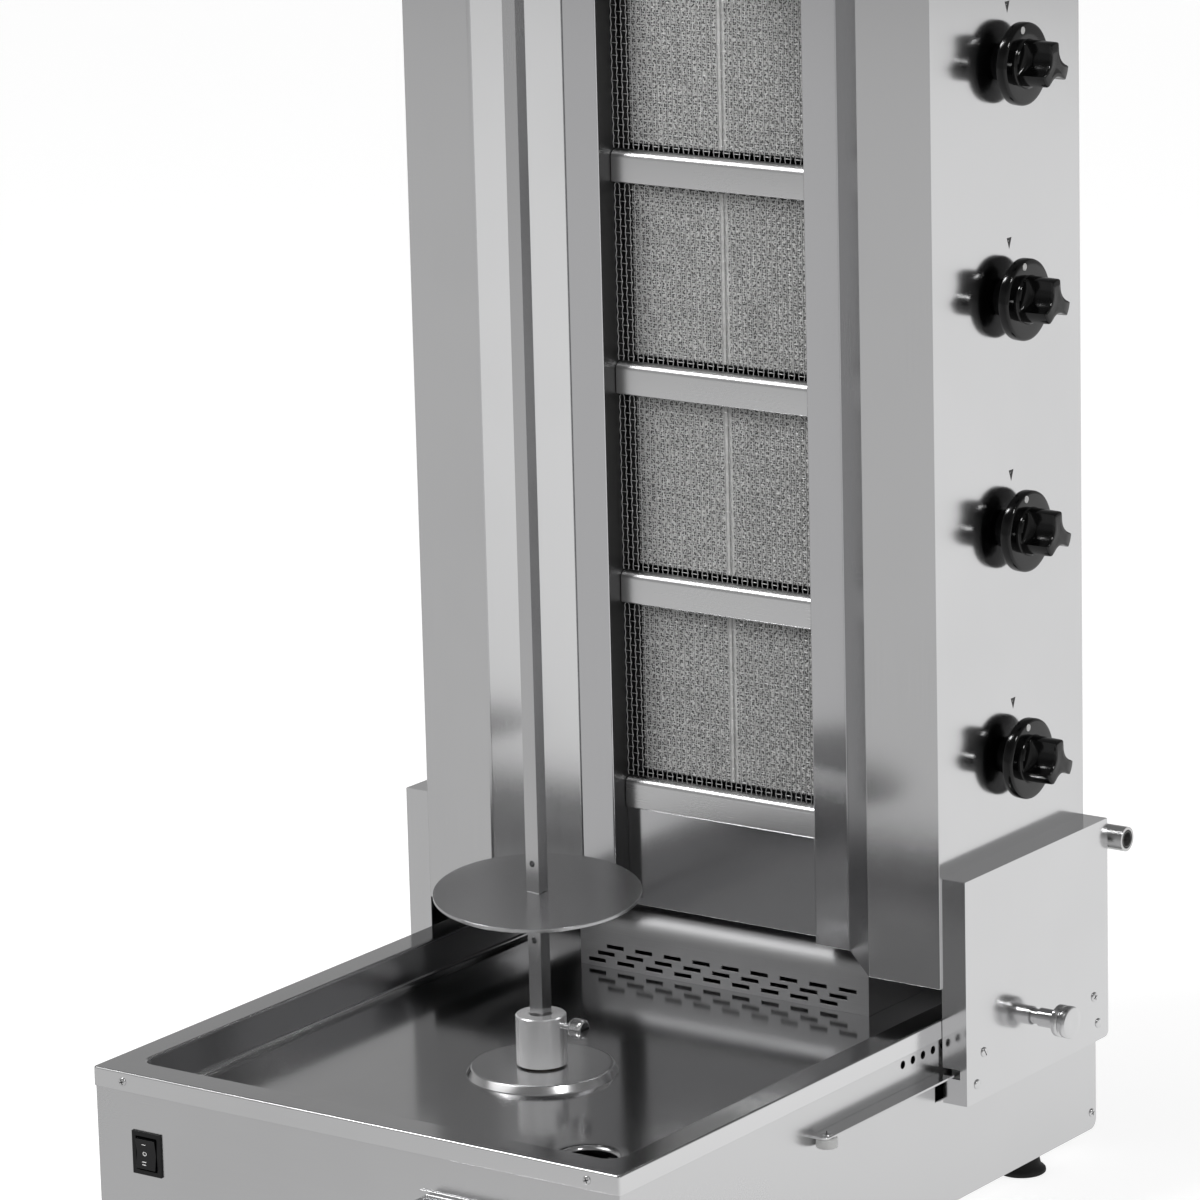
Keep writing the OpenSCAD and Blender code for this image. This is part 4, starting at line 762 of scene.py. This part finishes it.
# Gas inlet with its thread
thread = [(255.0, 6.0), (255.0, 9.2)]
x = 255.6
while x < 277.0:
    thread += [(x, 9.2), (x + 0.75, 10.0), (x + 1.5, 9.2)]
    x += 1.5
nozzle = [(278.0, 8.9), (280.4, 8.9), (281.4, 8.4), (282.0, 7.6), (282.0, 6.2), (281.6, 6.0),
          (259.0, 6.0), (259.0, 0.0)]
lathed("gas_nipple", thread + nozzle, (0, 330.5, 272.0), (1, 0, 0), M["wire"], "tower", (), 48, 25)


# Feet
FOOT = [(0.0, 9.2), (0.0, 19.0), (0.7, 19.8), (1.8, 20.0), (3.2, 19.7), (4.4, 18.6), (5.2, 17.2),
        (6.6, 16.0), (10.0, 15.1), (16.0, 14.2), (19.6, 13.9), (20.6, 13.5), (21.0, 12.8), (21.0, 4.4),
        (9.0, 4.4), (9.0, 8.8), (8.4, 9.2), (0.0, 9.2)]
for i, (x, y) in enumerate(((-222.0, -262.0), (-222.0, 262.0), (222.0, -262.0), (222.0, 262.0))):
    lathed("foot_%d" % (i + 1), FOOT, (x, y, 0), (0, 0, 1), M["rubber"], "base",
           ("foot_pads",) if i == 0 else (), 56, 30)


# Switch marks: a plain line, a ring and a double line
MARK_X, ROCKER_Z = -200.6, 114.0
ROCKER_FACE_Y, ROCKER_LEAN, ROCKER_HALF_H = -336.26, 1.7, 11.95


def rocker_y(z):
    """Just in front of the rocker's face, which slopes to both sides."""
    return ROCKER_FACE_Y - ROCKER_LEAN * abs(z - ROCKER_Z) / ROCKER_HALF_H


def rocker_mark(name, outline, hole=()):
    """A flat printed mark that follows the slope of the rocker's face. Its points are relative to MARK_X."""
    bm = bmesh.new()
    rings = [[bm.verts.new(Vector((MARK_X + x, rocker_y(z), z)) * MM) for x, z in pts]
             for pts in (outline, hole)]
    if hole:
        join(bm, *rings)
    else:
        bm.faces.new(rings[0])
    bm.normal_update()
    if sum(f.normal.y for f in bm.faces) > 0:
        bmesh.ops.reverse_faces(bm, faces=bm.faces)
    finish_mesh(bm, name, M["white"], "rocker")


def bar_mark(name, z):
    w, h = 1.9, 0.36
    rocker_mark(name, [(-w, z - h), (w, z - h), (w, z + h), (-w, z + h)])


bar_mark("switch_one", 121.6)
bar_mark("switch_two_upper", 107.6)
bar_mark("switch_two_lower", 105.4)
rocker_mark("switch_ring", [(2.0 * c, ROCKER_Z + 1.7 * s) for c, s in circle(32)],
            [(1.3 * c, ROCKER_Z + 1.0 * s) for c, s in circle(32)])

# Materials for the CAD solids that stay
KEPT = {
    "bottom_plate": "zinc",
    "foot_bolts": "zinc",
    "drawer_runners": "zinc",
    "motor": "motor",
    "motor_bracket": "zinc",
    "shaft_bearing": "bronze",
    "drive_shaft": "turned",
    "cable_gland": "black",
    "gas_manifold": "zinc",
    "knob_bezels": "black",
    "burner_pipes": "zinc",
    "gas_inlet": "wire",
    "keeper_discs": "nylon",
    "plunger_spring": "wire",
    "lock_pin": "turned",
    "arm_screws": "zinc",
    "knob_spindle_1": "brass",
    "knob_spindle_2": "brass",
    "knob_spindle_3": "brass",
    "knob_spindle_4": "brass",
}
for name, key in KEPT.items():
    ob = nodes[name]
    ob.data.materials.clear()
    ob.data.materials.append(M[key])


# Floor, world and lamps
# the paper: its colour, what the camera adds to it, and how bright metal sees it on the left and right
FLOOR_DIFFUSE = 0.62
FLOOR_CAMERA = 0.75
FLOOR_LEFT, FLOOR_RIGHT = 0.6, 0.96
FLOOR_HALF = 6.0
# the room: its brightness at the horizon, and how much darker it is above and at the front left
ROOM, ROOM_ABOVE, ROOM_FRONT = 0.44, 0.26, 0.12
SOFT_BOX = 1.3


def along(n, l, vec, direction):
    d = n.new("ShaderNodeVectorMath")
    d.operation = "DOT_PRODUCT"
    d.inputs[1].default_value = Vector(direction).normalized()
    l.new(vec, d.inputs[0])
    return d.outputs["Value"]


def ramp_up(n, l, value, lo, hi, amount):
    """Rises smoothly from 0 at lo to amount at hi."""
    m = n.new("ShaderNodeMapRange")
    m.interpolation_type = "SMOOTHSTEP"
    m.inputs["From Min"].default_value = lo
    m.inputs["From Max"].default_value = hi
    m.inputs["To Min"].default_value = 0.0
    m.inputs["To Max"].default_value = amount
    l.new(value, m.inputs["Value"])
    return m.outputs["Result"]


def blank(tree):
    """Nodes and links of an emptied node tree."""
    for x in list(tree.nodes):
        tree.nodes.remove(x)
    return tree.nodes, tree.links


def stage_floor():
    """White paper that keeps the shadow. What the metal sees of it is paler towards the back right."""
    bm = bmesh.new()
    s = FLOOR_HALF
    bm.faces.new([bm.verts.new(p) for p in ((-s, -s, 0), (s, -s, 0), (s, s, 0), (-s, s, 0))])
    me = bpy.data.meshes.new("floor")
    bm.to_mesh(me)
    bm.free()
    mat = bpy.data.materials.new("floor")
    mat.use_nodes = True
    n, l = blank(mat.node_tree)
    out = n.new("ShaderNodeOutputMaterial")
    add = n.new("ShaderNodeAddShader")
    dif = n.new("ShaderNodeBsdfDiffuse")
    dif.inputs["Color"].default_value = (FLOOR_DIFFUSE,) * 3 + (1,)
    em = n.new("ShaderNodeEmission")
    paper = n.new("ShaderNodeEmission")
    mix = n.new("ShaderNodeMixShader")
    lp = n.new("ShaderNodeLightPath")
    tc = n.new("ShaderNodeTexCoord")
    side = along(n, l, tc.outputs["Object"], (0.8, 0.6, 0))
    glow = scalar(n, l, "ADD", ramp_up(n, l, side, -0.7, 0.9, FLOOR_RIGHT - FLOOR_LEFT), FLOOR_LEFT)
    l.new(scalar(n, l, "MULTIPLY", lp.outputs["Is Camera Ray"], FLOOR_CAMERA), em.inputs["Strength"])
    l.new(glow, paper.inputs["Strength"])
    l.new(dif.outputs[0], add.inputs[0])
    l.new(em.outputs[0], add.inputs[1])
    l.new(lp.outputs["Is Glossy Ray"], mix.inputs[0])
    l.new(add.outputs[0], mix.inputs[1])
    l.new(paper.outputs[0], mix.inputs[2])
    l.new(mix.outputs[0], out.inputs["Surface"])
    me.materials.append(mat)
    ob = bpy.data.objects.new("floor", me)
    bpy.context.scene.collection.objects.link(ob)


def studio_world():
    """A dim room, pale at the horizon, with one soft box overhead; plain white for the camera."""
    world = bpy.data.worlds.new("studio")
    bpy.context.scene.world = world
    world.use_nodes = True
    n, l = blank(world.node_tree)
    vec = n.new("ShaderNodeTexCoord").outputs["Generated"]
    above = ramp_up(n, l, along(n, l, vec, (0, 0, 1)), 0.18, 0.6, ROOM_ABOVE)
    front = ramp_up(n, l, along(n, l, vec, (-0.57, -0.79, 0.24)), 0.8, 0.95, ROOM_FRONT)
    box = ramp_up(n, l, along(n, l, vec, (-0.5, -0.4, 0.77)), 0.9, 0.96, SOFT_BOX)
    total = scalar(n, l, "SUBTRACT", ROOM, above)
    total = scalar(n, l, "SUBTRACT", total, front)
    total = scalar(n, l, "ADD", box, total)
    white = n.new("ShaderNodeBackground")
    white.inputs["Color"].default_value = (1, 1, 1, 1)
    white.inputs["Strength"].default_value = 1.0
    lp = n.new("ShaderNodeLightPath")
    mix = n.new("ShaderNodeMixShader")
    l.new(lp.outputs["Is Camera Ray"], mix.inputs[0])
    room = n.new("ShaderNodeBackground")
    room.inputs["Color"].default_value = (1, 1, 1, 1)
    l.new(total, room.inputs["Strength"])
    l.new(room.outputs[0], mix.inputs[1])
    l.new(white.outputs[0], mix.inputs[2])
    out = n.new("ShaderNodeOutputWorld")
    l.new(mix.outputs[0], out.inputs["Surface"])


stage_floor()
studio_world()


def lamp(name, loc, target, size, power):
    """A rectangular lamp that points at the target; its power is in watts."""
    d = bpy.data.lights.new(name, "AREA")
    d.shape = "RECTANGLE"
    d.size, d.size_y = size
    d.energy = power
    o = bpy.data.objects.new(name, d)
    o.location = loc
    o.rotation_mode = "QUATERNION"
    o.rotation_quaternion = (Vector(target) - Vector(loc)).to_track_quat("-Z", "Y")
    bpy.context.scene.collection.objects.link(o)
    return o


# two lamps for the paint and plastic, and two small ones that only the metal's and the knobs' shine shows
lamp("key", (-1.6, -2.4, 2.6), (0, 0, 0.5), (1.6, 1.6), 75).visible_glossy = False
lamp("fill", (2.6, -0.6, 1.8), (0, 0, 0.5), (1.4, 1.8), 16).visible_glossy = False
lamp("spark", (-1.42, -1.02, 2.58), (0.28, 0.21, 0.45), (0.7, 0.7), 22).visible_diffuse = False
lamp("spark_right", (1.95, -0.69, 2.75), (0.25, 0.21, 0.45), (0.3, 0.5), 26).visible_diffuse = False
